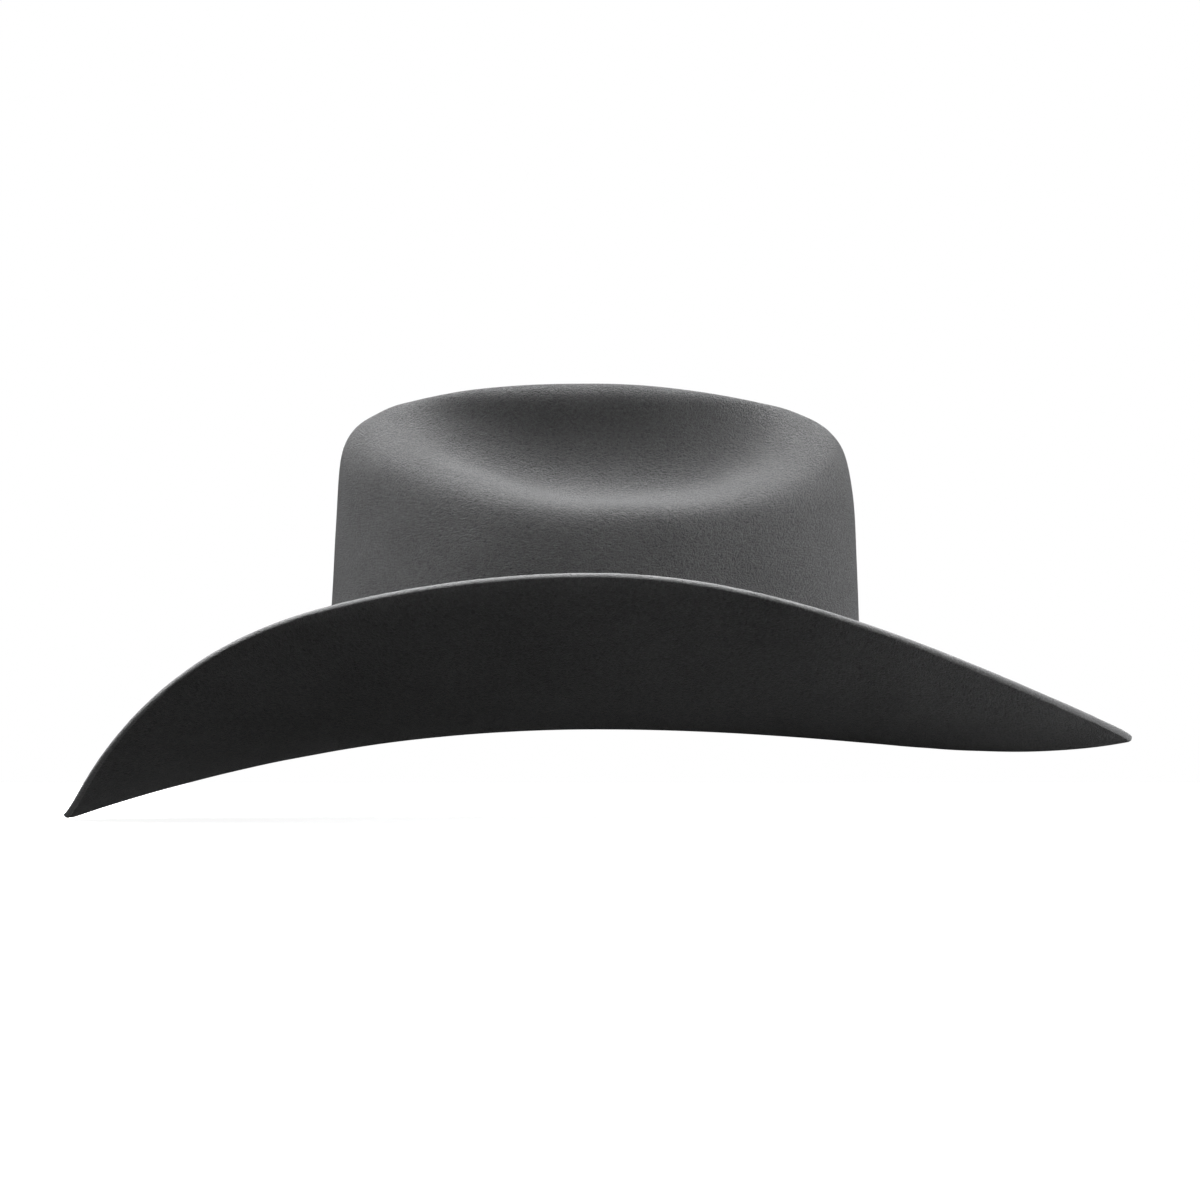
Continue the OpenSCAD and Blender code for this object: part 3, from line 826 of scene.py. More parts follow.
@dataclass
class FeltShape:
    """The outer face of the felt, which everything else on the hat follows.

    Attributes:
        sizes: Driving sizes of the hat.
    """

    sizes: HatSizes

    def normal(self, u: Array) -> Array:
        """Gives the level outward direction of the base oval at each angle."""
        r, s = np.radians(u), self.sizes
        return unit(np.stack([np.sin(r) / s.half_width, -np.cos(r) / s.half_length, 0 * r], -1))

    def wall(self, u: Array | float, h: Array | float,
             inset: Array | float = 0.0) -> Array:
        """Gives points on the crown's wall.

        Args:
            u: Angles in degrees.
            h: Heights above the brim break.
            inset: Distances in from the felt's outer face.

        Returns:
            Points, with xyz last.
        """
        u, h, inset = np.broadcast_arrays(np.asarray(u, float), h, inset)
        s, r, c = self.sizes, np.radians(u), np.cos(np.radians(u))
        lean_end = np.where(c > 0, s.lean.front, s.lean.back)
        point = np.stack([(s.half_width - s.lean.side * h) * np.sin(r),
                          -(s.half_length - lean_end * h) * c, s.break_height.at(u) + h], -1)
        return point - inset[..., None] * self.normal(u)

    def crown(self, u: Array, steps: int) -> Array:
        """Gives the crown's outer face.

        Args:
            u: Angles in degrees.
            steps: Rows between two control rings.

        Returns:
            Points as (angle, row, xyz), from the break up to the floor of the crease.
        """
        s, r = self.sizes, np.radians(u)
        rings = [self.wall(u, h) for h in (s.break_radius, s.wall_low, s.wall_high)]
        for ring in s.rings:
            across = np.sign(np.sin(r)) * np.abs(np.sin(r)) ** ring.square
            along = np.sign(np.cos(r)) * np.abs(np.cos(r)) ** ring.square
            reach = np.where(np.cos(r) > 0, ring.front, ring.back)
            height = ring.height.at(u, ring.front_power, ring.back_power)
            rings.append(np.stack([s.half_width * ring.width * across,
                                   -s.half_length * reach * along, s.crown_height * height], -1))
        rings = [2 * rings[0] - rings[1], *rings, 2 * rings[-1] - rings[-2]]
        rows = []
        for i in range(len(rings) - 3):
            a, b, c, d = rings[i:i + 4]
            for t in np.arange(steps) / steps:
                rows.append(((1 - t) ** 3 * a + (3 * t ** 3 - 6 * t ** 2 + 4) * b
                             + (-3 * t ** 3 + 3 * t ** 2 + 3 * t + 1) * c + t ** 3 * d) / 6)
        rows.append((rings[-3] + 4 * rings[-2] + rings[-1]) / 6)
        return np.stack(rows, 1)

    def brim(self, u: Array, bend_rows: int, rows: int) -> Array:
        """Gives the brim's outer, upper face.

        Args:
            u: Angles in degrees.
            bend_rows: Rows in the bend at the break.
            rows: Rows from there to the edge.

        Returns:
            Points as (angle, row, xyz), from the break out to the edge.
        """
        s = self.sizes
        start = s.start_slope.at(u)
        round_nose = np.exp(-(np.minimum(u, 360 - u) / s.nose_spread) ** 3)
        edge = np.where(np.cos(np.radians(u)) > 0,
                        s.edge_slope.side + (s.edge_slope.front - s.edge_slope.side) * round_nose,
                        s.edge_slope.at(u))
        width, late = s.brim_width.at(u), s.late_curl.at(u)
        out, up = [], []
        for i in range(1, bend_rows + 1):
            a = np.radians(-90 + (start + 90) * i / bend_rows)
            out.append(s.break_radius * (1 + np.sin(a)))
            up.append(-s.break_radius * np.cos(a))
        for i in range(rows):
            t = (i + 0.5) / rows
            a = np.radians(start + (edge - start) * (t * (1 - late) + late * t * t))
            out.append(out[-1] + np.cos(a) * width / rows)
            up.append(up[-1] + np.sin(a) * width / rows)
        base, away = self.wall(u, s.break_radius), self.normal(u)
        rise = np.array([0.0, 0.0, 1.0])
        return np.stack([base + o[:, None] * away + z[:, None] * rise for o, z in zip(out, up)], 1)

    def place(self, u: float, h: float, inset: float = 0.0) -> Matrix:
        """Gives a place on the wall: x out of the crown, y towards larger angles and z up."""
        y = self.wall(u + 1, h) - self.wall(u - 1, h)
        return self.axes(self.wall(u, h, inset), y, self.wall(u, h + MM) - self.wall(u, h))

    @staticmethod
    def axes(origin: Array, y: Array, up: Array) -> Matrix:
        """Gives a matrix from its y direction and a rough up direction.

        Args:
            origin: The matrix's origin.
            y: Its y direction, of any length.
            up: A direction near its z.

        Returns:
            The matrix.
        """
        y = unit(y)
        x = unit(np.cross(y, up))
        z = np.cross(x, y)
        return Matrix([[x[0], y[0], z[0], origin[0]], [x[1], y[1], z[1], origin[1]],
                       [x[2], y[2], z[2], origin[2]], [0, 0, 0, 1]])

    def side_angle(self, s: Array | float) -> Array | float:
        """Gives the angle of a place s behind the middle of the left side."""
        return 90 + s / (self.sizes.half_length * math.pi / 180)


@dataclass
class HatPart:
    """A sub-assembly that follows the felt's shape.

    Attributes:
        shape: The felt's outer face.
        finishes: The hat's finishes.
    """

    shape: FeltShape
    finishes: Finishes

    @property
    def sizes(self) -> HatSizes:
        """Driving sizes of the hat."""
        return self.shape.sizes


# ---- Studio ----

@dataclass
class Studio:
    """Camera, soft lights, pale floor and plain background.

    Attributes:
        distance: Distance from the camera to the middle of the hat.
        aim: Point that the camera looks at.
        level: Height of the camera.
        view_width: Width of what the camera sees at the hat's middle.
        sensor: Width of the camera's sensor, in millimetres.
    """

    distance: float = 2.6
    aim: tuple[float, float, float] = (0.0, 0.0027, 0.0509)
    level: float = -0.0033
    view_width: float = 0.4644
    sensor: float = 36.0

    def camera(self) -> None:
        """Puts the camera level with the brim, on the hat's left."""
        data = bpy.data.cameras.new("camera")
        camera = bpy.data.objects.new("camera", data)
        bpy.context.scene.collection.objects.link(camera)
        bpy.context.scene.camera = camera
        camera.location = (self.distance, self.aim[1], self.level)
        look = Vector(self.aim) - camera.location
        camera.rotation_euler = look.to_track_quat("-Z", "Y").to_euler()
        data.sensor_width = self.sensor
        data.lens = self.sensor * look.length / self.view_width
        data.clip_end = 20

    @staticmethod
    def softbox(name: str, place: Sequence[float], size: tuple[float, float], power: float,
                aim: Sequence[float] = (0.0, 0.0, 0.05), spread: float = math.pi) -> None:
        """Adds a rectangular soft light.

        Args:
            name: The light's name.
            place: Where it stands.
            size: Its width and height.
            power: Its power in watts.
            aim: The point that it faces.
            spread: The angle that its light opens to.
        """
        data = bpy.data.lights.new(name, "AREA")
        data.shape, data.size, data.size_y, data.energy = "RECTANGLE", *size, power
        data.spread = spread
        lamp = bpy.data.objects.new(name, data)
        bpy.context.scene.collection.objects.link(lamp)
        lamp.location = place
        lamp.rotation_euler = (Vector(aim) - lamp.location).to_track_quat("-Z", "Y").to_euler()

    def lights(self) -> None:
        """Adds lights above the hat, beyond each end of it and below its opening."""
        self.softbox("top_light", (0.08, 0.0, 1.5), (0.45, 1.2), 46)
        self.softbox("top_front_light", (0.0, -0.75, 1.3), (0.5, 0.5), 34)
        self.softbox("top_back_light", (0.0, 0.75, 1.3), (0.5, 0.5), 11)
        self.softbox("front_light", (0.8, -1.27, 0.02), (0.5, 0.6), 4)
        self.softbox("back_light", (0.03, 1.5, 0.02), (0.5, 0.6), 20)
        self.softbox("side_back_light", (0.8, 1.27, 0.02), (0.5, 0.6), 4)
        self.softbox("inside_light", (0.0, 0.0, -0.7), (0.07, 0.11), 0.045,
                     spread=math.radians(8))

    @staticmethod
    def world() -> None:
        """Makes a white background that lights the hat softly, more from above."""
        world = bpy.data.worlds.new("studio")
        bpy.context.scene.world = world
        world.use_nodes = True
        tree = world.node_tree
        shown, lit = tree.nodes["Background"], tree.nodes.new("ShaderNodeBackground")
        shown.inputs["Color"].default_value = (1, 1, 1, 1)
        split = tree.nodes.new("ShaderNodeSeparateXYZ")
        tree.links.new(tree.nodes.new("ShaderNodeTexCoord").outputs["Generated"], split.inputs[0])
        rise = tree.nodes.new("ShaderNodeMapRange")
        rise.inputs["From Min"].default_value = -0.3
        rise.inputs["To Min"].default_value = 0.05
        rise.inputs["To Max"].default_value = 0.12
        tree.links.new(split.outputs["Z"], rise.inputs["Value"])
        tree.links.new(rise.outputs[0], lit.inputs["Strength"])
        mix = tree.nodes.new("ShaderNodeMixShader")
        seen = tree.nodes.new("ShaderNodeLightPath").outputs["Is Camera Ray"]
        tree.links.new(seen, mix.inputs[0])
        tree.links.new(lit.outputs[0], mix.inputs[1])
        tree.links.new(shown.outputs[0], mix.inputs[2])
        tree.links.new(mix.outputs[0], tree.nodes["World Output"].inputs["Surface"])

    @staticmethod
    def floor(height: float, reach: float = 2.2) -> None:
        """Lays a pale floor that is clear from below.

        Args:
            height: Height of the floor.
            reach: Distance from its middle to its edge.
        """
        corners = [(x * reach, y * reach, height) for x, y in ((-1, -1), (1, -1), (1, 1), (-1, 1))]
        piece = Workshop.mesh("floor", np.array(corners), [(0, 1, 2, 3)])
        g = Graph("floor")
        g.finish((0.8, 0.8, 0.8, 1), 0.7, Emission_Color=(1, 1, 1, 1), Emission_Strength=0.92)
        clear = g.node("ShaderNodeBsdfTransparent")
        below = g.node("ShaderNodeNewGeometry").outputs["Backfacing"]
        mix = g.node("ShaderNodeMixShader", {0: below, 1: g.shader.outputs[0],
                                             2: clear.outputs[0]})
        g.feed(g.tree.nodes["Material Output"].inputs["Surface"], mix.outputs[0])
        piece.data.materials.append(g.material)
        piece.visible_diffuse = piece.visible_glossy = piece.visible_shadow = False

    def build(self) -> None:
        """Sets the camera first and then the rest of the studio."""
        self.camera()
        self.lights()
        self.world()
        self.floor(cad_box[0][2] - 0.5 * MM)
        bpy.context.scene.view_settings.view_transform = "Standard"


# ---- Felt body ----

@dataclass
class FeltBody(HatPart):
    """Crown and brim blocked from one piece of felt, with a raw cut edge.

    Attributes:
        around: Points round the hat.
        span_rows: Rows in each span of the crown.
        bend_rows: Rows in the bend at the break.
        brim_rows: Rows across the brim.
        edge_round: Radius of the cut edge's upper corner.
        edge_sanded: How far along the felt its lower corner is sanded.
        fuzz: Height of the loose fibres on the cut edge.
        unevenness: How far the hand-shaped felt strays from its block.
        true_above: Distance above the break where it keeps to the block.
        true_below: Distance out from the break where it keeps to the block.
        stray_ease: Distance over which it starts to stray.
    """

    around: int = 360
    span_rows: int = 7
    bend_rows: int = 8
    brim_rows: int = 54
    edge_round: float = 0.6 * MM
    edge_sanded: float = 1.5 * MM
    fuzz: float = 0.09 * MM
    unevenness: float = 0.45 * MM
    true_above: float = 45 * MM
    true_below: float = 12 * MM
    stray_ease: float = 25 * MM

    def outer(self) -> tuple[Array, int]:
        """Gives the outer face from the brim's edge to the line of the crease.

        Returns:
            Points as (angle, row, xyz), and the number of rows up to the break.
        """
        u = 360 * np.arange(self.around) / self.around
        brim = self.shape.brim(u, self.bend_rows, self.brim_rows)[:, ::-1]
        crown = self.shape.crown(u, self.span_rows)
        return np.concatenate([brim, crown, self.crease(crown)], 1), brim.shape[1]

    def crease(self, crown: Array) -> Array:
        """Rounds the floor of the crease from the crown's last row to the middle line.

        Args:
            crown: The crown's points as (angle, row, xyz).

        Returns:
            More rows, the last of which lies on the middle line.
        """
        last, across = crown[:, -1], self.mirrored(crown[:, -1])
        slope = crown[:, -1] - crown[:, -2]
        reach = np.linalg.norm(across - last, axis=-1, keepdims=True) / 2
        pace = reach / np.linalg.norm(slope, axis=-1, keepdims=True)
        middle = (last + across) / 2 + 0.5 * slope * pace * np.array([0, 0, 1])
        rows = []
        for t in (0.25, 0.5, 0.75, 1.0):
            straight = last + slope * pace * t
            bent = last * (1 - t) + middle * t
            rows.append(straight * (1 - t) ** 2 + bent * (1 - (1 - t) ** 2))
        return np.stack(rows, 1)

    def mirrored(self, row: Array) -> Array:
        """Gives the point across the middle line for each point of a row."""
        return row[(-np.arange(self.around)) % self.around]

    def stray(self, points: Array, rows_to_break: int) -> Array:
        """Gives how far each point strays from the block.

        Args:
            points: Points as (angle, row, xyz).
            rows_to_break: Number of rows up to the break.

        Returns:
            Distances as (angle, row), none where the bands lie.
        """
        flat = points.reshape(-1, 3)
        broad = np.array([noise.noise(Vector(p) * 14 + Vector((3.1, 7.7, 1.9))) for p in flat])
        small = np.array([noise.noise(Vector(p) * 46 + Vector((9.3, 2.5, 6.1))) for p in flat])
        stray = self.unevenness * (broad + 0.3 * small).reshape(points.shape[:2])
        step = np.linalg.norm(np.diff(points, axis=1), axis=-1)
        run = np.concatenate([np.zeros((len(points), 1)), np.cumsum(step, 1)], 1)
        run = np.abs(run - run[:, rows_to_break:rows_to_break + 1])
        above = points[..., 2] > points[:, rows_to_break:rows_to_break + 1, 2]
        start = np.where(above, self.true_above, self.true_below)
        return stray * np.clip((run - start) / self.stray_ease, 0, 1)

    def normals(self, points: Array) -> Array:
        """Gives the outward normals of a face.

        Args:
            points: Points as (angle, row, xyz), the last row on the middle line.

        Returns:
            Unit normals, in the same order.
        """
        around = np.roll(points, -1, 0) - np.roll(points, 1, 0)
        along = np.empty_like(points)
        along[:, 1:-1] = points[:, 2:] - points[:, :-2]
        along[:, 0] = points[:, 1] - points[:, 0]
        along[:, -1] = self.mirrored(points[:, -2]) - points[:, -2]
        n = np.cross(around, along)
        n /= np.maximum(np.linalg.norm(n, axis=-1, keepdims=True), 1e-12)
        for j in range(1, n.shape[1]):
            pinched = np.linalg.norm(n[:, j], axis=-1) < 0.5
            n[pinched, j] = n[pinched, j - 1]
        both = n[:, -1] + self.mirrored(n[:, -1])
        n[:, -1] = unit(both)
        return n

    def build(self) -> None:
        """Builds the felt with both faces and its cut edge."""
        s = self.sizes
        outer, rows_to_break = self.outer()
        normal = self.normals(outer)
        outer += normal * self.stray(outer, rows_to_break)[..., None]
        outer[:, -1] = (outer[:, -1] + self.mirrored(outer[:, -1])) / 2
        normal = self.normals(outer)
        ease = np.clip((rows_to_break - np.arange(outer.shape[1])) / self.bend_rows, 0, 1)
        thick = s.crown_felt + (s.brim_felt - s.crown_felt) * ease
        inner = outer - normal * thick[None, :, None]
        away = unit(outer[:, 0] - outer[:, 1])
        rim = self.rim(outer[:, 0], away, normal[:, 0])
        outer[:, 0] -= self.edge_round * away
        inner[:, 0] -= self.edge_sanded * away
        grid = np.concatenate([outer[:, ::-1], rim, inner], 1)
        count, rows, _ = grid.shape
        ends = (0, rows - 1)

        def corner(i: int, j: int) -> int:
            """Gives a corner's number, shared across the middle line."""
            i %= count
            return (min(i, count - i) if j in ends else i) * rows + j

        faces = []
        for i in range(count):
            for j in range(rows - 1):
                ring = (corner(i, j), corner(i + 1, j), corner(i + 1, j + 1), corner(i, j + 1))
                face = tuple(dict.fromkeys(ring))
                if len(face) > 2:
                    faces.append(face)
        piece = Workshop.mesh("felt_body", grid, faces)
        Workshop.face_outwards(piece, merge=1e-6)
        piece.data.materials.append(self.finishes.felt)
        piece.data.materials.append(self.finishes.cut_felt)
        self.mark_edge(piece, rim)
        Workshop.file(piece, Body.HAT, Slot.FELT, self.finishes.felt, "felt_crown", "felt_brim")

    def rim(self, edge: Array, away: Array, normal: Array) -> Array:
        """Rounds the cut edge, with a fine fuzz.

        Args:
            edge: The outer face's row at the brim's edge.
            away: Directions out of the brim there.
            normal: The outer face's normals there.

        Returns:
            Rows from the outer face round to the inner face.
        """
        t, r, sanded = self.sizes.brim_felt, self.edge_round, self.edge_sanded
        turn = np.radians(np.array([20, 45, 70, 90]))
        path = [(-r + r * np.sin(a), -r + r * np.cos(a)) for a in turn]
        path += [(-sanded * (1 - np.cos(a)), -r - (t - r) * np.sin(a))
                 for a in np.radians([10, 22, 34, 46, 58, 70, 80])]
        rows = np.stack([edge + a * away + n * normal for a, n in path], 1)
        fuzz = np.array([[noise.noise(Vector(p) * 900) for p in ring] for ring in rows])
        rows += self.fuzz * fuzz[..., None] * away[:, None]
        return rows

    @staticmethod
    def mark_edge(piece: Piece, rim: Array) -> None:
        """Gives the cut edge's faces their own finish.

        Args:
            piece: The felt body.
            rim: The rows of points round its cut edge.
        """
        known = {tuple(np.round(p, 7)) for p in rim.reshape(-1, 3)}
        on_rim = [tuple(np.round(v.co, 7)) in known for v in piece.data.vertices]
        for face in piece.data.polygons:
            if sum(on_rim[i] for i in face.vertices) >= 2:
                face.material_index = 1


# ---- Threads ----

@dataclass
class Stitcher:
    """Makes short twisted threads.

    Attributes:
        radius: Radius of the thread.
        twist: Length of thread in one turn of its plies.
        sides: Points round the thread.
    """

    radius: float = 0.25 * MM
    twist: float = 1.1 * MM
    sides: int = 10

    def thread(self, path: Array) -> Array:
        """Gives the sections of one thread with round ends and two plies.

        Args:
            path: Points as (point, xyz).

        Returns:
            Points as (section, side, xyz).
        """
        run = np.concatenate([[0], np.cumsum(np.linalg.norm(np.diff(path, axis=0), axis=1))])
        side = full_turn(self.sides)
        plies = 1 + 0.14 * np.cos(2 * (side[None] - 2 * np.pi * run[:, None] / self.twist))
        left = np.minimum(run, run[-1] - run) / self.radius
        ends = np.sqrt(np.clip(1 - (1 - np.clip(left, 0, 1)) ** 2, 0.04, 1))
        return Workshop.tube_sections(path, self.radius * plies * ends[:, None], False, self.sides)

    @staticmethod
    def path(place: Matrix, line: Sequence[Sequence[float]], steps: int = 4) -> Array:
        """Gives a smooth path in its place, through points given in millimetres."""
        return np.array([place @ Vector(p) for p in Workshop.spline(np.array(line) * MM, steps)])

    def row(self, name: str, paths: Sequence[Array]) -> Piece:
        """Makes one object of many threads."""
        return Workshop.join(name, [Workshop.skin("thread", self.thread(p)) for p in paths])


# ---- Hatband ----

@dataclass
class Hatband(HatPart):
    """Strip of the same felt, folded round the buckle's bar, with its stitches.

    Attributes:
        heel_offset: Distance from the middle of the left side to the heel bar.
        buckle_reach: Distance from the heel bar to the middle of the buckle's front bar.
        fold_length: Distance from the bar to the end of the fold.
        tail_length: Distance from the bar to the end of the tail.
        keeper_offset: Distance from the bar to the keeper's middle.
        settle: Distance from the keeper to where the strip lies on the crown again.
        keeper_back: Thickness of the keeper's back leg.
        keeper_clearance: Space between the keeper and the felt.
        bar_radius: Radius of the heel bar.
        fold_clearance: Space between the bar and the fold.
        layer_gap: Space between two layers of the strip.
        corner: Radius of the strip's cut corners.
        tack_count: Number of tacks.
    """

    heel_offset: float = 10 * MM
    buckle_reach: float = 20.5 * MM
    fold_length: float = 12 * MM
    tail_length: float = 48 * MM
    keeper_offset: float = 21 * MM
    settle: float = 12 * MM
    keeper_back: float = 0.5 * MM
    keeper_clearance: float = 0.5 * MM
    bar_radius: float = 0.8 * MM
    fold_clearance: float = 0.25 * MM
    layer_gap: float = 0.1 * MM
    corner: float = 0.28 * MM
    tack_count: int = 8

    @property
    def felt(self) -> float:
        """Thickness of the strip."""
        return self.sizes.band_felt

    @property
    def low(self) -> float:
        """Distance from the crown to the middle of the strip lying on it."""
        return self.sizes.band_gap + self.felt / 2

    @property
    def fold_radius(self) -> float:
        """Radius of the fold's middle."""
        return self.bar_radius + self.fold_clearance + self.felt / 2

    @property
    def bar_out(self) -> float:
        """Distance from the crown to the heel bar's axis."""
        return self.low + self.fold_radius

    @property
    def raised(self) -> float:
        """Distance to the strip's middle over the keeper's back leg."""
        return self.low + self.keeper_back + self.keeper_clearance

    @property
    def tail(self) -> float:
        """Distance to the tail's middle."""
        return self.raised + self.felt + self.layer_gap

    @property
    def keeper_at(self) -> float:
        """Distance from the middle of the left side to the keeper's middle."""
        return self.heel_offset + self.keeper_offset

    @property
    def tail_end(self) -> float:
        """Distance from the middle of the left side to the tail's end."""
        return self.heel_offset + self.tail_length

    @property
    def per_turn(self) -> float:
        """Distance that stands for one turn round the crown."""
        return 2 * math.pi * self.sizes.half_length

    def round_bar(self, radius: float, start: float, end: float, steps: int) -> list[tuple]:
        """Gives points on an arc round the heel bar, between two angles in degrees."""
        turn = np.radians(np.linspace(start, end, steps + 1))
        return [(self.heel_offset + radius * math.cos(a), self.bar_out + radius * math.sin(a))
                for a in turn]

    def path(self) -> Array:
        """Gives the strip's path.

        Returns:
            Points as (distance behind the middle of the left side, distance out).
        """
        heel, keeper = self.heel_offset, self.keeper_at
        fold = self.low + self.felt + self.layer_gap
        over = self.fold_radius + self.felt + self.layer_gap
        run = self.per_turn - keeper - 2 * self.settle
        first = [(heel + self.fold_length, fold), (heel + 8 * MM, fold),
                 (heel + 5 * MM, fold + 0.3 * MM), *self.round_bar(self.fold_radius, 70, 270, 8),
                 (heel + 5 * MM, self.low), (heel + 11 * MM, self.low),
                 *[(keeper + s * MM, self.raised) for s in range(-7, 10, 4)]]
        first += [(keeper + self.settle + run * k / 90, self.low) for k in range(91)]
        last = [(-4 * MM, self.low), (heel - 9 * MM, self.low),
                (heel - 7 * MM, self.low + 0.4 * MM), (heel - 5 * MM, self.low + 1.7 * MM),
                *self.round_bar(over, 140, 75, 4), (heel + 5 * MM, self.tail + 1.2 * MM),
                (heel + 8 * MM, self.tail + 0.7 * MM),
                (heel + self.fold_length, self.tail + 0.6 * MM),
                *[(keeper + s * MM, self.tail) for s in range(-6, 11, 4)],
                (self.tail_end - 12 * MM, self.tail), (self.tail_end - 6 * MM, self.tail),
                (self.tail_end, self.tail)]
        return Workshop.spline(first + [(s + self.per_turn, out) for s, out in last], 4)

    def strip(self) -> Piece:
        """Builds the strip with rounded corners and a slot for the tongue."""
        sizes, path = self.sizes, self.path()
        along = directions(path)
        normal = np.stack([-along[:, 1], along[:, 0]], 1)
        r, half = self.corner, self.felt / 2
        section = []
        for across, up, start in ((1, 1, 0), (1, -1, 90), (-1, -1, 180), (-1, 1, 270)):
            middle = sizes.band_middle + up * (sizes.band_height / 2 - r)
            for a in np.radians(start + np.array([0, 45, 90])):
                section.append((across * (half - r) + r * math.sin(a), middle + r * math.cos(a)))
        rings = []
        for m, h in section:
            spot = path + normal * m
            rings.append(self.shape.wall(self.shape.side_angle(spot[:, 0]), h, -spot[:, 1]))
        strip = Workshop.skin("felt_strip", np.stack(rings, 1))
        slot = Workshop.rounded_box("slot", (-self.bar_out, -9.5 * MM, -1.6 * MM),
                                    (self.bar_out + 5 * MM, 2.5 * MM, 1.6 * MM), 0.8 * MM)
        slot.data.transform(self.bar_place())
        Workshop.carve(strip, slot)
        return strip

    def bar_place(self) -> Matrix:
        """Gives the heel bar's place: x out, y towards the back, z along the bar."""
        reach, middle = self.buckle_reach, self.sizes.band_middle
        shape, side = self.shape, self.shape.side_angle
        bar = shape.wall(side(self.heel_offset), middle, -self.bar_out)
        front = shape.wall(side(self.heel_offset - reach), middle, -self.bar_out)
        u = side(self.heel_offset - reach / 2)
        return shape.axes(bar, bar - front, shape.wall(u, middle + MM) - shape.wall(u, middle))

    def fold_stitches(self) -> Piece:
        """Builds the threads through the fold and the strip under it."""
        sizes, paths = self.sizes, []
        for h in range(-6, 7, 3):
            place = self.shape.place(self.shape.side_angle(self.heel_offset + 9.5 * MM),
                                     sizes.band_middle + h * MM, -sizes.band_gap)
            line = [(0.1, 0.3, 0), (0.4, 0.05, 0), (1.2, 0, 0), (2.0, 0, 0), (2.35, 0.05, 0),
                    (2.45, 0.3, 0)]
            paths.append(Stitcher.path(place, line))
        return Stitcher().row("fold_threads", paths)

    def tacks(self) -> Piece:
        """Builds the short threads that hold the strip to the crown."""
        sizes, paths = self.sizes, []
        turn = 360 - math.degrees((self.keeper_at + 2 * self.settle) / sizes.half_length) - 50
        for k in range(self.tack_count):
            u = self.shape.side_angle(self.keeper_at + 40 * MM) + turn * k / (self.tack_count - 1)
            place = self.shape.place(u, sizes.band_middle, 0)
            line = [(-1.75, 0, 0.35), (-1.6, 0, 0), (-0.6, 0, 0), (0.6, 0, 0), (1.35, 0, 0),
                    (1.5, 0, 0.35)]
            paths.append(Stitcher.path(place, line))
        return Stitcher().row("band_tack_threads", paths)

    def build(self) -> None:
        """Builds the strip and its threads."""
        f = self.finishes
        Workshop.file(self.strip(), Body.HAT, Slot.FELT, f.felt, "hatband")
        Workshop.file(self.fold_stitches(), Body.HAT, Slot.THREAD, f.thread, "fold_stitches")
        Workshop.file(self.tacks(), Body.HAT, Slot.THREAD, f.thread, "band_tacks")


# ---- Buckle set ----

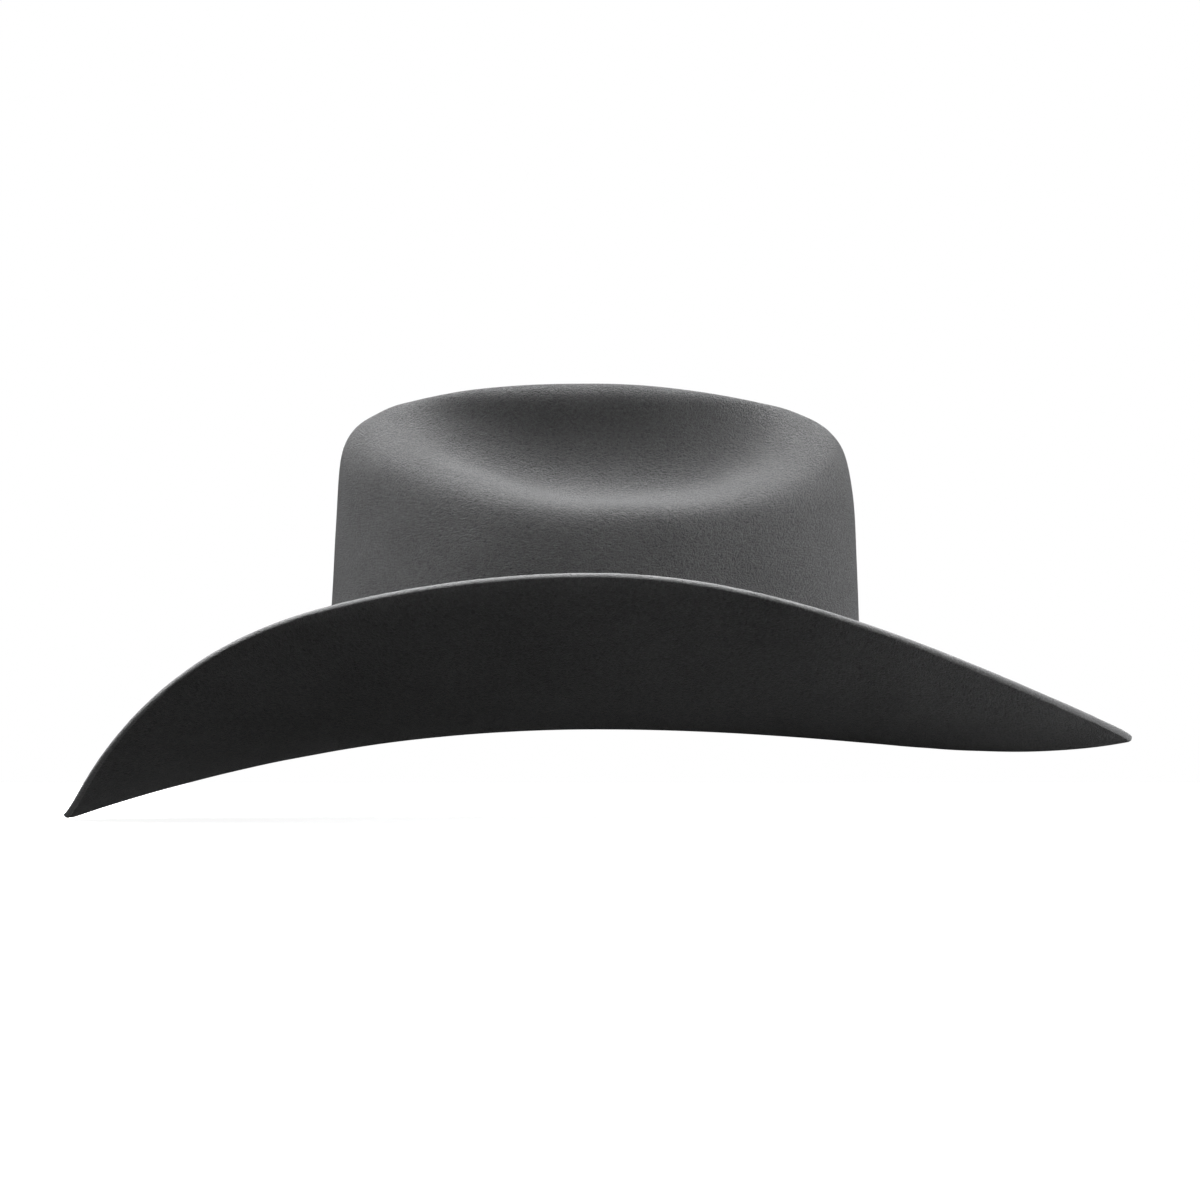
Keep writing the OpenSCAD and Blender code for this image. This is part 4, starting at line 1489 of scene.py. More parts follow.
@dataclass
class BuckleSet:
    """Small plated buckle, keeper and tip with roped edges.

    Attributes:
        band: The hatband that carries it.
        limb: Width of the frame's limbs.
        thick: Thickness of the frame.
        clearance: Space between the strip's edges and the frame or keeper.
        corner: Radius of the frame's corners.
        eye_wall: Wall of the frame's eyes.
        tongue_radius: Radius of the tongue's rod.
        tongue_point: Length of its rounded point.
        tongue_eye: Width and wall of its eye.
        tongue_gap: Space between the tongue and the metal it turns on or rests on.
        keeper_width: Width of the keeper.
        keeper_wall: Thickness of the keeper's front and edge legs.
        tip_length: Length of the tip over the tail.
        tip_nose: How far the tip's nose reaches past the tail.
        tip_wall: Wall of the tip.
        tip_clearance: Space between the tip and the tail.
        rope: Distance between the turns of the roped edges.
    """

    band: Hatband
    limb: float = 2.6 * MM
    thick: float = 1.6 * MM
    clearance: float = 0.6 * MM
    corner: float = 2.9 * MM
    eye_wall: float = 0.9 * MM
    tongue_radius: float = 0.7 * MM
    tongue_point: float = 1.4 * MM
    tongue_eye: tuple[float, float] = (2 * MM, 0.75 * MM)
    tongue_gap: float = 0.05 * MM
    keeper_width: float = 6 * MM
    keeper_wall: float = 1 * MM
    tip_length: float = 13 * MM
    tip_nose: float = 3.4 * MM
    tip_wall: float = 0.4 * MM
    tip_clearance: float = 0.3 * MM
    rope: float = 0.9 * MM

    @property
    def reach(self) -> float:
        """Distance from the heel bar to the middle of the front bar."""
        return self.band.buckle_reach

    @property
    def inside(self) -> float:
        """Height of the frame's window."""
        return self.band.sizes.band_height + 2 * self.clearance

    def roped(self, across: Array, along: float | Array, at: float,
              width: float) -> Array:
        """Gives the relief of a rope line on both sides of a face.

        Args:
            across: Place across the face, 0 in the middle.
            along: Place along the face.
            at: Distance of the rope lines from the middle.
            width: Half width of a rope line.

        Returns:
            Relief from 0 to 1.
        """
        line = np.clip(1 - ((np.abs(across) - at) / width) ** 2, 0, 1) ** 0.5
        turns = np.cos(2 * np.pi * (along / self.rope + (np.abs(across) - at) / width * 0.35))
        return line * (0.72 + 0.28 * turns)

    def frame_path(self) -> Array:
        """Gives the middle line of the frame's limbs in its own plane."""
        z, corner = (self.inside + self.limb) / 2, self.corner
        line = [(y, z) for y in np.linspace(-MM, -self.reach + corner, 120)]
        for a in np.radians(np.linspace(0, 90, 40))[1:]:
            line.append((-self.reach + corner - corner * math.sin(a),
                         z - corner + corner * math.cos(a)))
        line += [(-self.reach, h) for h in np.linspace(z - corner, 0, 60)[1:]]
        return np.array(line + [(y, -h) for y, h in line[-2::-1]])

    def frame(self) -> Piece:
        """Builds the frame: a domed limb with roped edges and two eyes for the bar."""
        path = self.frame_path()
        along = np.gradient(path, axis=0)
        step = np.linalg.norm(along, axis=1, keepdims=True)
        side = np.stack([-along[:, 1], along[:, 0]], 1) / step
        run = np.cumsum(step[:, 0])
        v = np.linspace(-1, 1, 23)
        dome = self.thick / 2 * (0.52 + 0.24 * (1 - v ** 2))
        rings = []
        for point, out, s in zip(path, side, run):
            top = dome + 0.3 * MM * self.roped(v * self.limb / 2, s, 0.88 * MM, 0.36 * MM)
            front = [(x, *(point + out * a * self.limb / 2)) for x, a in zip(top, v)]
            back = [(-self.thick / 2 * (1 - 0.3 * a ** 6), *(point + out * a * self.limb / 2))
                    for a in v[::-2]]
            rings.append(front + back)
        limb = Workshop.skin("buckle_plate", np.array(rings))
        for end in (-1, 1):
            eye = self.ring("eye", self.band.bar_radius, self.band.bar_radius + self.eye_wall,
                            self.limb, end * (self.inside + self.limb) / 2)
            Workshop.carve(limb, eye, "UNION")
        return limb

    @staticmethod
    def ring(name: str, bore: float, radius: float, width: float, at: float) -> Piece:
        """Makes a ring about the z axis with rounded edges.

        Args:
            name: The piece's name.
            bore: Radius of its bore.
            radius: Its outer radius.
            width: Its width along z.
            at: Height of its middle.

        Returns:
            The ring.
        """
        edge = min(0.25 * MM, (radius - bore) / 3)
        profile = [(bore, -width / 2), (radius - edge, -width / 2),
                   (radius - 0.3 * edge, -width / 2 + 0.3 * edge), (radius, -width / 2 + edge),
                   (radius, width / 2 - edge), (radius - 0.3 * edge, width / 2 - 0.3 * edge),
                   (radius - edge, width / 2), (bore, width / 2)]
        turn = np.radians(np.arange(0, 360, 7.5))
        rings = [[(r * math.cos(a), r * math.sin(a), at + z) for r, z in profile] for a in turn]
        return Workshop.skin(name, np.array(rings), True)

    def bar(self) -> Piece:
        """Builds the heel bar with domed ends."""
        half, r = self.inside / 2 + self.limb, self.band.bar_radius
        dome = np.radians(np.linspace(0, 80, 6))
        ends = [(r * math.cos(a), half - 0.3 * MM + 0.3 * MM * math.sin(a)) for a in dome]
        profile = [(c, -z) for c, z in ends[::-1]] + [(r, h * half / 4) for h in (-2, 0, 2)] + ends
        turn = np.radians(np.arange(0, 360, 12))
        rings = [[(c * math.cos(a), c * math.sin(a), z) for a in turn] for c, z in profile]
        return Workshop.skin("heel_bar", np.array(rings))

    def tongue(self) -> Piece:
        """Builds the tapered tongue with its eye on the heel bar."""
        bore, (width, wall) = self.band.bar_radius + self.tongue_gap, self.tongue_eye
        piece = self.ring("tongue", bore, bore + wall, width, 0)
        rest, point = self.thick / 2 + self.tongue_radius + self.tongue_gap, self.tongue_point
        lean = math.atan(rest / self.reach)
        length = self.reach + self.limb / 2 + 1.2 * MM
        run = np.concatenate([np.linspace(1.15 * MM, length - point, 40),
                              length - point * np.cos(np.radians(np.linspace(12, 88, 12)))])
        share = run / length
        dip = -0.35 * MM * np.clip((share - 0.93) / 0.07, 0, 1) ** 2
        path = np.stack([dip, -run, 0 * run], 1)
        left = np.clip((length - run) / point, 0, 1)
        radius = self.tongue_radius * (1.1 - 0.22 * share) * np.sqrt(1 - (1 - left) ** 2)
        rod = Workshop.tube("rod", path, np.maximum(radius, 0.05 * MM), False, 20)
        rod.data.transform(Matrix.Rotation(lean, 4, "Z"))
        Workshop.carve(piece, rod, "UNION")
        return piece

    def keeper(self) -> Piece:
        """Builds the keeper: a closed loop with roped edges on its front."""
        band = self.band
        depth = band.tail - band.raised + band.felt + 2 * band.keeper_clearance
        low, high, half, r = band.keeper_back, band.keeper_back + depth, self.inside / 2, 0.4 * MM
        corners = [(high - r, half - r, 0), (low + r, half - r, 90), (low + r, -half + r, 180),
                   (high - r, -half + r, 270)]
        line, out = [], []
        for k, (x, z, start) in enumerate(corners):
            for a in np.radians(start + np.linspace(0, 90, 8)):
                line.append((x + r * math.cos(a), z + r * math.sin(a)))
                out.append((math.cos(a), math.sin(a)))
            nx, nz, _ = corners[(k + 1) % 4]
            end, begin = math.radians(start + 90), np.array(line[-1])
            goal = np.array([nx + r * math.cos(end), nz + r * math.sin(end)])
            steps = int(np.linalg.norm(goal - begin) / (0.16 * MM))
            for t in np.arange(1, steps) / steps:
                line.append(tuple(begin + t * (goal - begin)))
                out.append((math.cos(end), math.sin(end)))
        line, out = np.array(line), np.array(out)
        run = np.cumsum(np.linalg.norm(np.diff(line, axis=0, prepend=line[:1]), axis=1))
        share = np.clip((out[:, 0] + 1) / 0.7, 0, 1)
        wall = band.keeper_back + (self.keeper_wall - band.keeper_back) * share
        v = np.linspace(-1, 1, 31)
        rings = []
        for point, n, s, w, f in zip(line, out, run, wall, share):
            y = v * self.keeper_width / 2
            rope = self.roped(y, s, self.keeper_width / 2 - 0.5 * MM, 0.42 * MM)
            groove = 0.3 * MM * f * (1 - 0.55 * (1 - v ** 2)) * (1 - rope)
            face = (w - groove) * np.clip((1 - v ** 10) * 1.3, 0.75, 1)
            ring = [(point[0] + n[0] * g, b, point[1] + n[1] * g) for g, b in zip(face, y)]
            ring += [(point[0], b, point[1]) for b in y[::-3]]
            rings.append(ring)
        piece = Workshop.skin("keeper_loop", np.array(rings), True)
        place = band.shape.place(band.shape.side_angle(band.keeper_at),
                                 band.sizes.band_middle, -band.sizes.band_gap)
        piece.data.transform(place)
        return piece

    def tip(self) -> Piece:
        """Builds the hollow tip with a roped mouth and a plain domed face."""
        band, sizes = self.band, self.band.sizes
        grow = self.tip_clearance + self.tip_wall
        big, half = sizes.band_height + grow, sizes.band_height / 2 + grow
        thick = band.felt / 2 + grow
        mouth, nose = -self.tip_length, self.tip_nose
        run = nose - (nose - mouth) * (1 - np.cos(np.radians(np.linspace(3, 90, 90))))
        angle = full_turn(64)
        rings = []
        for y in run:
            reach = min(half, math.sqrt(max(big ** 2 - (y - nose + big) ** 2, 1e-12)))
            close = min(1.0, math.sqrt(max(1 - ((y + 2 * MM) / (nose + 2 * MM)) ** 2, 0.004))
                        if y > -2 * MM else 1.0)
            rope = self.roped(np.array(y - mouth - 0.9 * MM), reach * angle, 0.0, 0.45 * MM)
            border = np.exp(-((y - mouth - 2.6 * MM) / (0.25 * MM)) ** 2)
            deep = thick * close * (0.86 + 0.14 * rope - 0.1 * border)
            rings.append(self.pill(reach * (0.985 + 0.015 * rope), deep, y, angle))
        for y in (mouth, mouth + 0.05 * MM, *np.linspace(mouth + MM, self.tip_clearance, 8)):
            rings.append(self.pill(half - self.tip_wall, thick - self.tip_wall, y, angle))
        piece = Workshop.skin("strip_tip", np.array(rings))
        place = band.shape.place(band.shape.side_angle(band.tail_end - self.tip_length / 2),
                                 sizes.band_middle, -band.tail)
        piece.data.transform(place @ Matrix.Translation((0, self.tip_length / 2, 0)))
        return piece

    @staticmethod
    def pill(height: float | Array, depth: float | Array, y: float,
             angle: Array) -> list[tuple[float, float, float]]:
        """Gives a flat section with soft corners.

        Args:
            height: Half height along z.
            depth: Half depth along x.
            y: Place along the strip.
            angle: Angles of its points.

        Returns:
            Points as xyz.
        """
        c, s = np.cos(angle), np.sin(angle)
        x = depth * np.sign(c) * np.abs(c) ** 0.55
        z = height * np.sign(s) * np.abs(s) ** 0.22
        return list(zip(x, np.full_like(x, y), z))

    def build(self) -> None:
        """Builds and files the whole set."""
        metal, place = self.band.finishes.metal, self.band.bar_place()
        rows = ((self.frame(), Body.BUCKLE, "buckle_frame"),
                (self.bar(), Body.BUCKLE, "buckle_bar"),
                (self.tongue(), Body.TONGUE, "buckle_tongue"))
        for piece, body, node in rows:
            piece.data.transform(place)
            Workshop.file(piece, body, Slot.METAL, metal, node)
        Workshop.file(self.keeper(), Body.KEEPER, Slot.METAL, metal, "keeper")
        Workshop.file(self.tip(), Body.HAT, Slot.METAL, metal, "band_tip")


# ---- Sweatband ----

@dataclass
class Sweatband(HatPart):
    """Leather band with a reed and tape in its lower edge, and its stitches.

    Attributes:
        slit: Gap between the leather's ends at the back.
        reed_radius: Radius of the reed.
        tape_height: Height of the tape's upper edge.
        tape_thickness: Thickness of the tape.
        stitch_count: Stitches in each row.
        around: Steps round the hat.
    """

    slit: float = 1 * MM
    reed_radius: float = 0.9 * MM
    tape_height: float = 10 * MM
    tape_thickness: float = 0.3 * MM
    stitch_count: int = 72
    around: int = 288

    @property
    def leather(self) -> float:
        """Thickness of the leather."""
        return self.sizes.sweat_leather

    def open_angles(self, slit: float, count: int) -> Array:
        """Gives the angles from one side of the rear slit round to the other."""
        half = math.degrees(slit / self.sizes.half_width) / 2
        return np.linspace(180 + half, 540 - half, count + 1)

    def band(self) -> Piece:
        """Builds the leather, soft and a little wavy towards its free edge."""
        sizes = self.sizes
        u = self.open_angles(self.slit, self.around)
        low, high = 2 * self.reed_radius + 0.02 * MM, sizes.sweat_height
        rise = 0.5 - 0.5 * np.cos(np.linspace(0, np.pi, 26))
        h = low + (high - low) * rise
        edge = np.clip(np.minimum(h - low, high - h) / (0.5 * MM), 0, 1)
        half = self.leather / 2 * np.sqrt(np.clip(1 - (1 - edge) ** 2, 0.05, 1))
        half *= np.where(h > high - 3 * MM, 0.8, 1.0)
        line = np.concatenate([np.stack([-half, h]), np.stack([half, h])[:, ::-1]], 1)
        quiet = np.clip((np.minimum(u - 180, 540 - u) - 30) / 20, 0, 1)
        rings = []
        for angle, calm in zip(u, quiet):
            spot = math.radians(angle)
            place = Vector((3.2 * math.cos(spot), 3.2 * math.sin(spot), 4.4))
            wave = [noise.noise(place + Vector((0, 0, 22 * x))) + 0.5 * noise.noise(place * 3)
                    for x in line[1]]
            free = ((line[1] - low) / (high - low)) ** 2
            lean = (0.35 + np.clip(np.array(wave), -0.7, 1.0) * 0.5) * MM * free * (0.25 + calm)
            inset = sizes.leather_inset + self.leather / 2 + line[0] + np.maximum(lean, 0)
            rings.append(self.shape.wall(angle, line[1], inset))
        return Workshop.skin("leather_sweatband", np.array(rings))

    def reed(self) -> Piece:
        """Builds the reed, wrapped in tape that is wound round it."""
        u = self.open_angles(3 * self.slit, 2 * self.around)
        inset = self.sizes.leather_inset + self.reed_radius
        path = self.shape.wall(u, self.reed_radius, inset)
        side = full_turn(14)
        run = np.arange(len(u)) / 2.2
        wound = 0.965 + 0.035 * np.cos(side[None] - 2 * np.pi * run[:, None] / 2.0)
        radius = self.reed_radius * wound
        radius[[0, -1]] *= 0.5
        return Workshop.tube("wound_reed", path, radius, False, 14)

    def tape(self) -> Piece:
        """Builds the tape between the leather and the felt."""
        sizes = self.sizes
        u = self.open_angles(2 * self.slit, self.around)
        middle = sizes.crown_felt + sizes.sweat_gap / 2
        half, low = self.tape_thickness / 2, sizes.break_radius
        line = [(-half * f, h) for f, h in self.hems(low, self.tape_height)]
        line += [(half * f, h) for f, h in self.hems(low, self.tape_height)[::-1]]
        x, h = np.array(line).T
        rings = [self.shape.wall(angle, h, middle + x) for angle in u]
        return Workshop.skin("cloth_tape", np.array(rings))

    @staticmethod
    def hems(low: float, high: float) -> list[tuple[float, float]]:
        """Gives the share of full thickness and the height up a strip of cloth."""
        bead = 0.6 * MM
        return [(0.55, low), (1.0, low + bead / 2), (0.8, low + bead), (0.8, high - bead),
                (1.0, high - bead / 2), (0.55, high)]

    def attaching(self) -> Piece:
        """Builds the threads that hold the tape to the crown."""
        sizes, paths = self.sizes, []
        line = [(-0.1, 0.25, 0), (-0.2, 0.04, 0), (-1.2, 0, 0), (-2.2, 0.04, 0), (-2.3, 0.25, 0)]
        for k in range(self.stitch_count):
            u = 360 * (k + 0.5) / self.stitch_count
            place = self.shape.place(u, sizes.break_radius + 2 * MM, 0)
            paths.append(Stitcher.path(place, line, 3))
        return Stitcher(sides=8).row("attaching_threads", paths)

    def across_leather(self, u: float, h: float, reach: float, rise: float) -> Array:
        """Gives the path of a stitch that arches over the leather and dips into it.

        Args:
            u: Angle of its middle.
            h: Height of its middle.
            reach: Its length.
            rise: How much it climbs from one end to the other.

        Returns:
            Points as (point, xyz).
        """
        turn = math.degrees(reach / 2 / self.sizes.half_length)
        inset = self.sizes.leather_inset + self.leather
        line = []
        for t, up in ((-1, -0.25), (-0.9, 0.0), (-0.6, 0.2), (0, 0.3), (0.6, 0.2), (0.9, 0.0),
                      (1, -0.25)):
            line.append(self.shape.wall(u + t * turn, h + t * rise / 2, inset + up * MM))
        return Workshop.spline(np.array(line), 2)

    def leather_row(self) -> Piece:
        """Builds the row of stitches above the reed."""
        step = 360 / self.stitch_count
        paths = [self.across_leather((k + 0.5) * step, 4 * self.reed_radius, 4 * MM, 0.25 * MM)
                 for k in range(self.stitch_count)]
        return Stitcher().row("leather_threads", paths)

    def seam(self) -> Piece:
        """Builds the stitches across the rear slit."""
        top = self.sizes.sweat_height - 6 * MM
        paths = [self.across_leather(180, h, self.slit + 5 * MM, 1.2 * MM)
                 for h in np.arange(12 * MM, top + 0.1 * MM, 4 * MM)]
        return Stitcher().row("seam_threads", paths)

    def tag(self) -> Piece:
        """Builds the blank cloth tag with folded ends beside the rear bow."""
        inset = self.sizes.leather_inset + self.leather + 0.15 * MM
        half, rings = 0.15 * MM, []
        for u in np.linspace(192, 208, 60):
            fold = 1.0 if 193 < u < 207 else 1.35
            lift = 0.12 * MM * (0.5 + 0.5 * math.sin(u * 1.3))
            rows = self.hems(20 * MM, 30 * MM)
            line = [(half - half * f, h) for f, h in rows]
            line += [(half + half * f * fold, h) for f, h in rows[::-1]]
            x, h = np.array(line).T
            rings.append(self.shape.wall(u, h, inset + lift + x))
        return Workshop.skin("blank_size_tag", np.array(rings))

    def build(self) -> None:
        """Builds and files the band's pieces."""
        f = self.finishes
        rows = ((self.band(), Slot.LEATHER, f.leather, "sweatband"),
                (self.reed(), Slot.REED, f.reed, "sweatband_reed"),
                (self.tape(), Slot.RIBBON, f.tape, "reed_tape"),
                (self.attaching(), Slot.THREAD, f.thread, "attaching_stitches"),
                (self.leather_row(), Slot.THREAD, f.thread, "leather_stitches"),
                (self.seam(), Slot.THREAD, f.thread, "seam_stitches"))
        for piece, slot, finish, node in rows:
            Workshop.file(piece, Body.HAT, slot, finish, node)
        tag = Workshop.file(self.tag(), Body.HAT, Slot.LABEL, f.label, "size_tag")


@dataclass
class RearBow(HatPart):
    """Small grosgrain bow at the back of the leather.

    Attributes:
        height: Height of the bow above the brim break.
        width: Width of the ribbon.
        loop: Length of each loop.
        ribbon: Thickness of the ribbon.
        knot: Width of the knot.
    """

    height: float = 9 * MM
    width: float = 6 * MM
    loop: float = 12 * MM
    ribbon: float = 0.4 * MM
    knot: float = 4 * MM

    def place(self) -> Matrix:
        """Gives the bow's place, its x pointing to the head."""
        sizes = self.sizes
        inset = sizes.leather_inset + sizes.sweat_leather + 0.9 * MM
        return self.shape.place(180, self.height, inset) @ Matrix.Diagonal((-1, 1, 1, 1))

    def strip(self, name: str, path: Array, width: Array, closed: bool,
              tilt: float = 0.0) -> Piece:
        """Makes a ribbon that follows a path, with a soft arch across its width.

        Args:
            name: The piece's name.
            path: Points as (x, y, z).
            width: The ribbon's width at each point.
            closed: Whether the ribbon is a loop.
            tilt: How far the ribbon's width leans out of z, in degrees.

        Returns:
            The ribbon.
        """
        up = np.array([math.sin(math.radians(tilt)), 0, math.cos(math.radians(tilt))])
        out = unit(np.cross(directions(path, closed), up))
        v = np.linspace(-1, 1, 13)
        rings = []
        for point, n, w in zip(path, out, width):
            arch = 0.25 * MM * (1 - v ** 2) * w / self.width
            rings.append(self.both_faces(point + up * (v * w / 2)[:, None] + n * arch[:, None], n))
        return Workshop.skin(name, np.array(rings), closed)

    def both_faces(self, middle: Array, normal: Array) -> Array:
        """Gives a section of the ribbon, thinner at its edges.

        Args:
            middle: Points across the ribbon, from edge to edge.
            normal: The ribbon's normal.

        Returns:
            Points across one face and back across the other.
        """
        v = np.linspace(-1, 1, len(middle))
        half = self.ribbon / 2 * np.clip((1 - v ** (len(v) - 1)) * 1.5, 0.4, 1)[:, None]
        return np.concatenate([middle + normal * half, (middle - normal * half)[::-1]])

    def loops(self) -> Piece:
        """Builds both loops, pinched where they leave the knot."""
        pieces = []
        start = self.knot / 2 + 0.55 * MM
        for side in (-1, 1):
            turn = np.radians(np.linspace(0, 360, 96, endpoint=False))
            reach = (1 - np.cos(turn)) / 2
            belly = 1.75 * MM * np.sin(turn) * (0.35 + 0.65 * reach ** 0.7)
            path = np.stack([1.85 * MM + belly, side * (start + self.loop * 0.93 * reach),
                             0.6 * MM * reach ** 2], 1)
            width = self.width * (0.62 + 0.38 * np.clip(reach * 2.2, 0, 1))
            pieces.append(self.strip("loop", path, width, True, 4 * side))
        return Workshop.join("bow_loop_pair", pieces)

    def centre(self) -> Piece:
        """Builds the knot, a turn of ribbon with soft pleats."""
        rings = []
        for z in np.linspace(-1, 1, 25):
            a = full_turn(48)
            full = (1 - abs(z) ** 6) ** 0.5 if abs(z) < 1 else 0.12
            pleat = 1 + 0.05 * np.cos(9 * a + 3 * z)
            x = np.sign(np.cos(a)) * np.abs(np.cos(a)) ** 0.7 * 1.85 * MM * full * pleat
            y = np.sign(np.sin(a)) * np.abs(np.sin(a)) ** 0.6 * self.knot / 2 * full
            y *= 0.9 + 0.1 * z ** 2
            rings.append(np.stack([1.9 * MM + x, y, np.full_like(x, z * self.width * 0.58)], 1))
        return Workshop.skin("bow_centre", np.array(rings))

    def tails(self) -> Piece:
        """Builds the two cut ends below the knot."""
        pieces = []
        for side in (-1, 1):
            t = np.linspace(0, 1, 24)
            path = np.stack([(0.4 + 0.5 * np.sin(np.pi * t)) * MM,
                             side * (1.1 + 3.1 * t) * MM,
                             (-3.7 - 5.0 * t + 0.5 * t ** 2) * MM], 1)
            along = directions(path)
            across = unit(np.stack([0 * t, -along[:, 2], along[:, 1]], 1))
            v = np.linspace(-1, 1, 11)
            rings = []
            for point, a, s, share in zip(path, across, along, t):
                skew = 1.0 * MM * share * v * side
                middle = point + a * (v * 1.15 * MM)[:, None] + s * skew[:, None]
                rings.append(self.both_faces(middle, np.cross(s, a)))
            pieces.append(Workshop.skin("tail", np.array(rings)))
        return Workshop.join("bow_tail_pair", pieces)

    def build(self) -> None:
        """Builds and files the bow."""
        place = self.place()
        for piece, node in ((self.loops(), "bow_loops"), (self.centre(), "bow_knot"),
                            (self.tails(), "bow_tails")):
            piece.data.transform(place)
            Workshop.face_outwards(piece)
            Workshop.file(piece, Body.HAT, Slot.RIBBON, self.finishes.ribbon, node)


# ---- Lining ----

@dataclass
class Lining(HatPart):
    """Gathered satin side, flat top panel, cord over the seam and a blank patch.

    Attributes:
        satin: Thickness of the satin.
        start: Distance from the crown's outer face to the satin.
        inset: Distance in from there to the top panel's seam.
        hem: Height of the hem above the brim break.
        gimp: Radius of the cord.
        patch: Length and width of the patch.
        patch_drop: How far the patch's upper face lies below the panel's lower face.
        film_margin: How far the film reaches past the patch.
        film_drop: How far the film's upper face lies below the patch's.
        gathers: Number of gathers round the seam.
        gather_depth: Depth of a gather at the seam.
        slack: How far the satin hangs loose halfway up.
        turn: Insets where the satin turns in, with shares of the way up.
    """

    satin: float = 0.35 * MM
    start: float = 1.95 * MM
    inset: float = 13 * MM
    hem: float = 30 * MM
    gimp: float = 0.9 * MM
    patch: tuple[float, float] = (52 * MM, 36 * MM)
    patch_drop: float = 0.57 * MM
    film_margin: float = 6 * MM
    film_drop: float = 0.42 * MM
    gathers: int = 96
    gather_depth: float = 0.75 * MM
    slack: float = 1.5 * MM
    turn: tuple[tuple[float, float], ...] = ((1.95 * MM, 0.15), (3.95 * MM, 0.62),
                                             (5.95 * MM, 0.85), (8.95 * MM, 0.96),
                                             (13 * MM, 1.0))

    @property
    def top(self) -> float:
        """Height of the top panel's upper face."""
        return self.sizes.lining_top

    def side(self) -> Piece:
        """Builds the satin side with folds that draw in towards the seam."""
        sizes = self.sizes
        count = 6 * self.gathers
        rings = []
        for k in range(count):
            u = 360.0 * k / count
            lift = float(sizes.break_height.at(np.array(u)))
            free = self.top - lift - sizes.sweat_height
            rows = [(self.start, self.hem), (self.start, sizes.sweat_height - 6 * MM)]
            rows += [(x, sizes.sweat_height + share * free) for x, share in self.turn]
            line = Workshop.spline(np.array(rows), 7)
            line[:, 0] = np.maximum(line[:, 0], self.start)
            share = np.clip((line[:, 1] - sizes.sweat_height) / free, 0, 1)
            spot = Vector((math.cos(math.radians(u)), math.sin(math.radians(u)), 0))
            drift = 1.6 * noise.noise(spot * 9)
            tuck = 0.5 + 0.5 * np.cos(np.radians(u) * self.gathers + drift * 3 * (1 - share))
            full = self.gather_depth * share ** 1.5 * (0.75 + 0.5 * noise.noise(spot * 21))
            broad = np.array([noise.noise(spot * 4.5 + Vector((0, 0, 30 * h)))
                              for h in line[:, 1]])
            slack = self.slack * np.sin(np.pi * share) * np.clip(0.35 + broad, 0, 1.2)
            along = directions(line)
            normal = np.stack([along[:, 1], -along[:, 0]], 1)
            face = line + normal * (full * tuck + slack)[:, None]
            face[-2:] = line[-2:] + normal[-2:] * (0.35 * full * tuck)[-2:, None]
            back = face + normal * self.satin
            ring = np.concatenate([face, back[::-1]])
            rings.append(self.shape.wall(u, ring[:, 1], ring[:, 0]))
        return Workshop.skin("satin_side", np.array(rings), True)

    def outline(self, inset: float, count: int) -> Array:
        """Gives the wall's outline at the top panel's height."""
        u = 360 * np.arange(count) / count
        return self.shape.wall(u, self.top - self.sizes.break_height.at(u), inset)

    def panel(self, name: str, rim: Array, top: float, thick: float,
              sag: Callable[[float, Array], Array], rows: int = 18
              ) -> Piece:
        """Makes a thin flat piece with its own relief.

        Args:
            name: The piece's name.
            rim: Its outline.
            top: Height of its upper face.
            thick: Its thickness.
            sag: Gives how far it lies below its place, from the share of the way out
                and the points there.
            rows: Rings from the middle to the rim.

        Returns:
            A closed thin piece.
        """
        middle = rim.mean(0)
        middle[2] = 0
        level = rim * np.array([1, 1, 0])
        shares = [0.02 + 0.98 * (k / rows) ** 0.8 for k in range(rows + 1)]
        upper, lower = [], []
        for share in shares:
            ring = middle + (level - middle) * share
            down = sag(share, ring)[:, None] * np.array([0, 0, 1.0])
            edge = 0.25 * thick if share == shares[-1] else 0.0
            upper.append(ring + (0, 0, top - edge) - down)
            lower.append(ring + (0, 0, top - thick + edge) - down)
        outer = middle + (level - middle) * (1 + 0.25 * thick / np.linalg.norm(rim[0] - middle))
        down = sag(1.0, level)[:, None] * np.array([0, 0, 1.0])
        belt = outer + (0, 0, top - thick / 2) - down
        return Workshop.skin(name, np.array(upper + [belt] + lower[::-1]))

    def top_sag(self, share: float, ring: Array) -> Array:
        """Gives the top panel's soft sag, with puckers near its seam.

        Args:
            share: Share of the way out.
            ring: The points there.

        Returns:
            How far each point lies below its place.
        """
        k = np.arange(len(ring))
        pucker = 0.22 * MM * share ** 6 * (1 - share ** 30) * (1 + np.cos(k * np.pi / 2))
        soft = np.array([noise.noise(Vector(p) * 30) for p in ring])
        return pucker + (0.25 + 0.2 * soft) * MM * (1 - share ** 2) * share ** 0.5

    def build(self) -> None:
        """Builds and files the lining's pieces."""
        f = self.finishes
        side = Workshop.file(self.side(), Body.HAT, Slot.SATIN, f.satin, "lining_side")
        panel = self.panel("satin_top_panel", self.outline(self.inset + 0.2 * MM, 384), self.top,
                           self.satin, self.top_sag, 30)
        Workshop.file(panel, Body.HAT, Slot.SATIN, f.satin, "lining_top_panel")
        Workshop.file(self.cord(), Body.HAT, Slot.RIBBON, f.tape, "lining_gimp")
        self.build_patch()

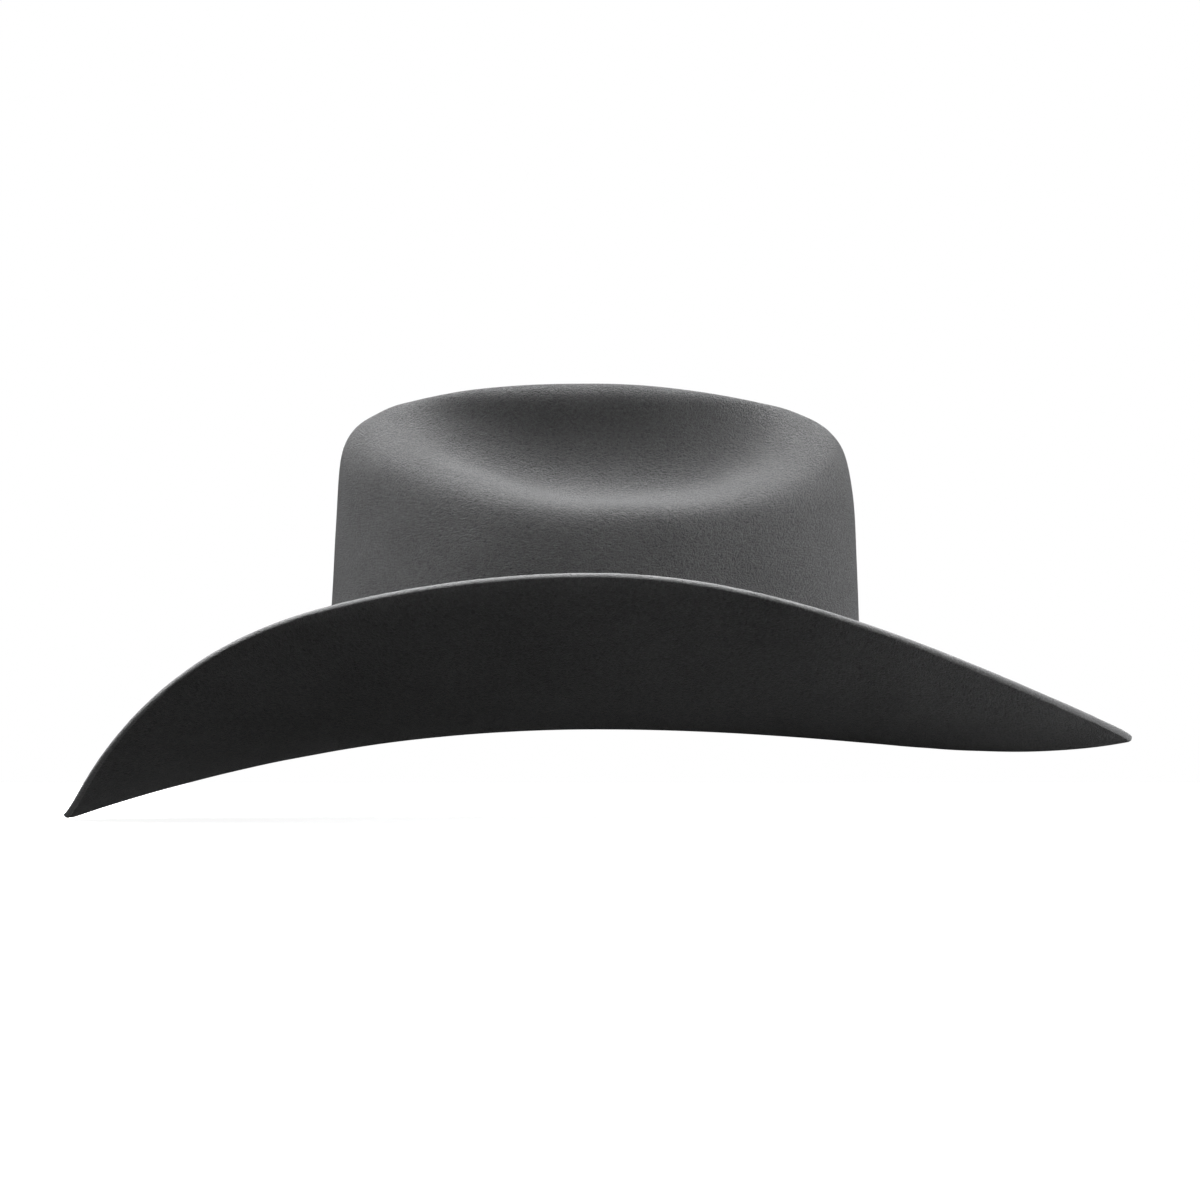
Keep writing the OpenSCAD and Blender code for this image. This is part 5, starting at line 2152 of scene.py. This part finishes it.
    def cord(self) -> Piece:
        """Builds the twisted cord that covers the seam."""
        count = 1080
        path = self.outline(self.inset + 0.1 * MM, count)
        path[:, 2] = self.top - self.satin - self.gimp - 0.1 * MM
        side = full_turn(14)
        turns = 2 * np.pi * 200 * np.arange(count)[:, None] / count
        radius = self.gimp * (0.86 + 0.14 * np.abs(np.cos(side[None] - turns / 2)))
        return Workshop.tube("gimp_cord", path, radius, True, 14)

    def build_patch(self) -> None:
        """Builds the blank patch with a stitched border, and the clear film over it."""
        turn = full_turn(160)
        length, width = self.patch
        shape = np.stack([width / 2 * np.sin(turn), -length / 2 * np.cos(turn), 0 * turn], 1)
        under = self.top - self.satin - self.patch_drop

        def border(share: float, ring: Array) -> Array:
            """Gives the relief of the satin-stitched border."""
            ridge = math.exp(-((share - 0.94) / 0.035) ** 2)
            return ridge * 0.07 * MM * (1 + np.cos(np.arange(len(ring)) * np.pi / 2))

        def ripple(share: float, ring: Array) -> Array:
            """Gives the film's faint ripple and its welded rim."""
            soft = np.array([noise.noise(Vector(p) * 60) for p in ring])
            return 0.05 * MM * soft + 0.08 * MM * math.exp(-((share - 0.95) / 0.02) ** 2)

        patch = self.panel("blank_patch", shape, under, 0.26 * MM, border, 44)
        Workshop.file(patch, Body.HAT, Slot.PATCH, self.finishes.patch, "lining_patch")
        grown = shape * np.array([1 + 2 * self.film_margin / width,
                                  1 + 2 * self.film_margin / length, 1])
        film = self.panel("clear_film", grown, under - self.film_drop, 0.12 * MM, ripple, 24)
        Workshop.file(film, Body.HAT, Slot.FILM, self.finishes.film, "patch_film")


def main() -> None:
    """Builds the studio and then the hat, piece by piece."""
    logging.basicConfig(level=logging.INFO, format="%(name)s: %(message)s")
    Studio().build()
    shape = FeltShape(HatSizes())
    finishes = Finishes()
    FeltBody(shape, finishes).build()
    band = Hatband(shape, finishes)
    band.build()
    BuckleSet(band).build()
    Sweatband(shape, finishes).build()
    RearBow(shape, finishes).build()
    Lining(shape, finishes).build()


if __name__ == "__main__":
    main()
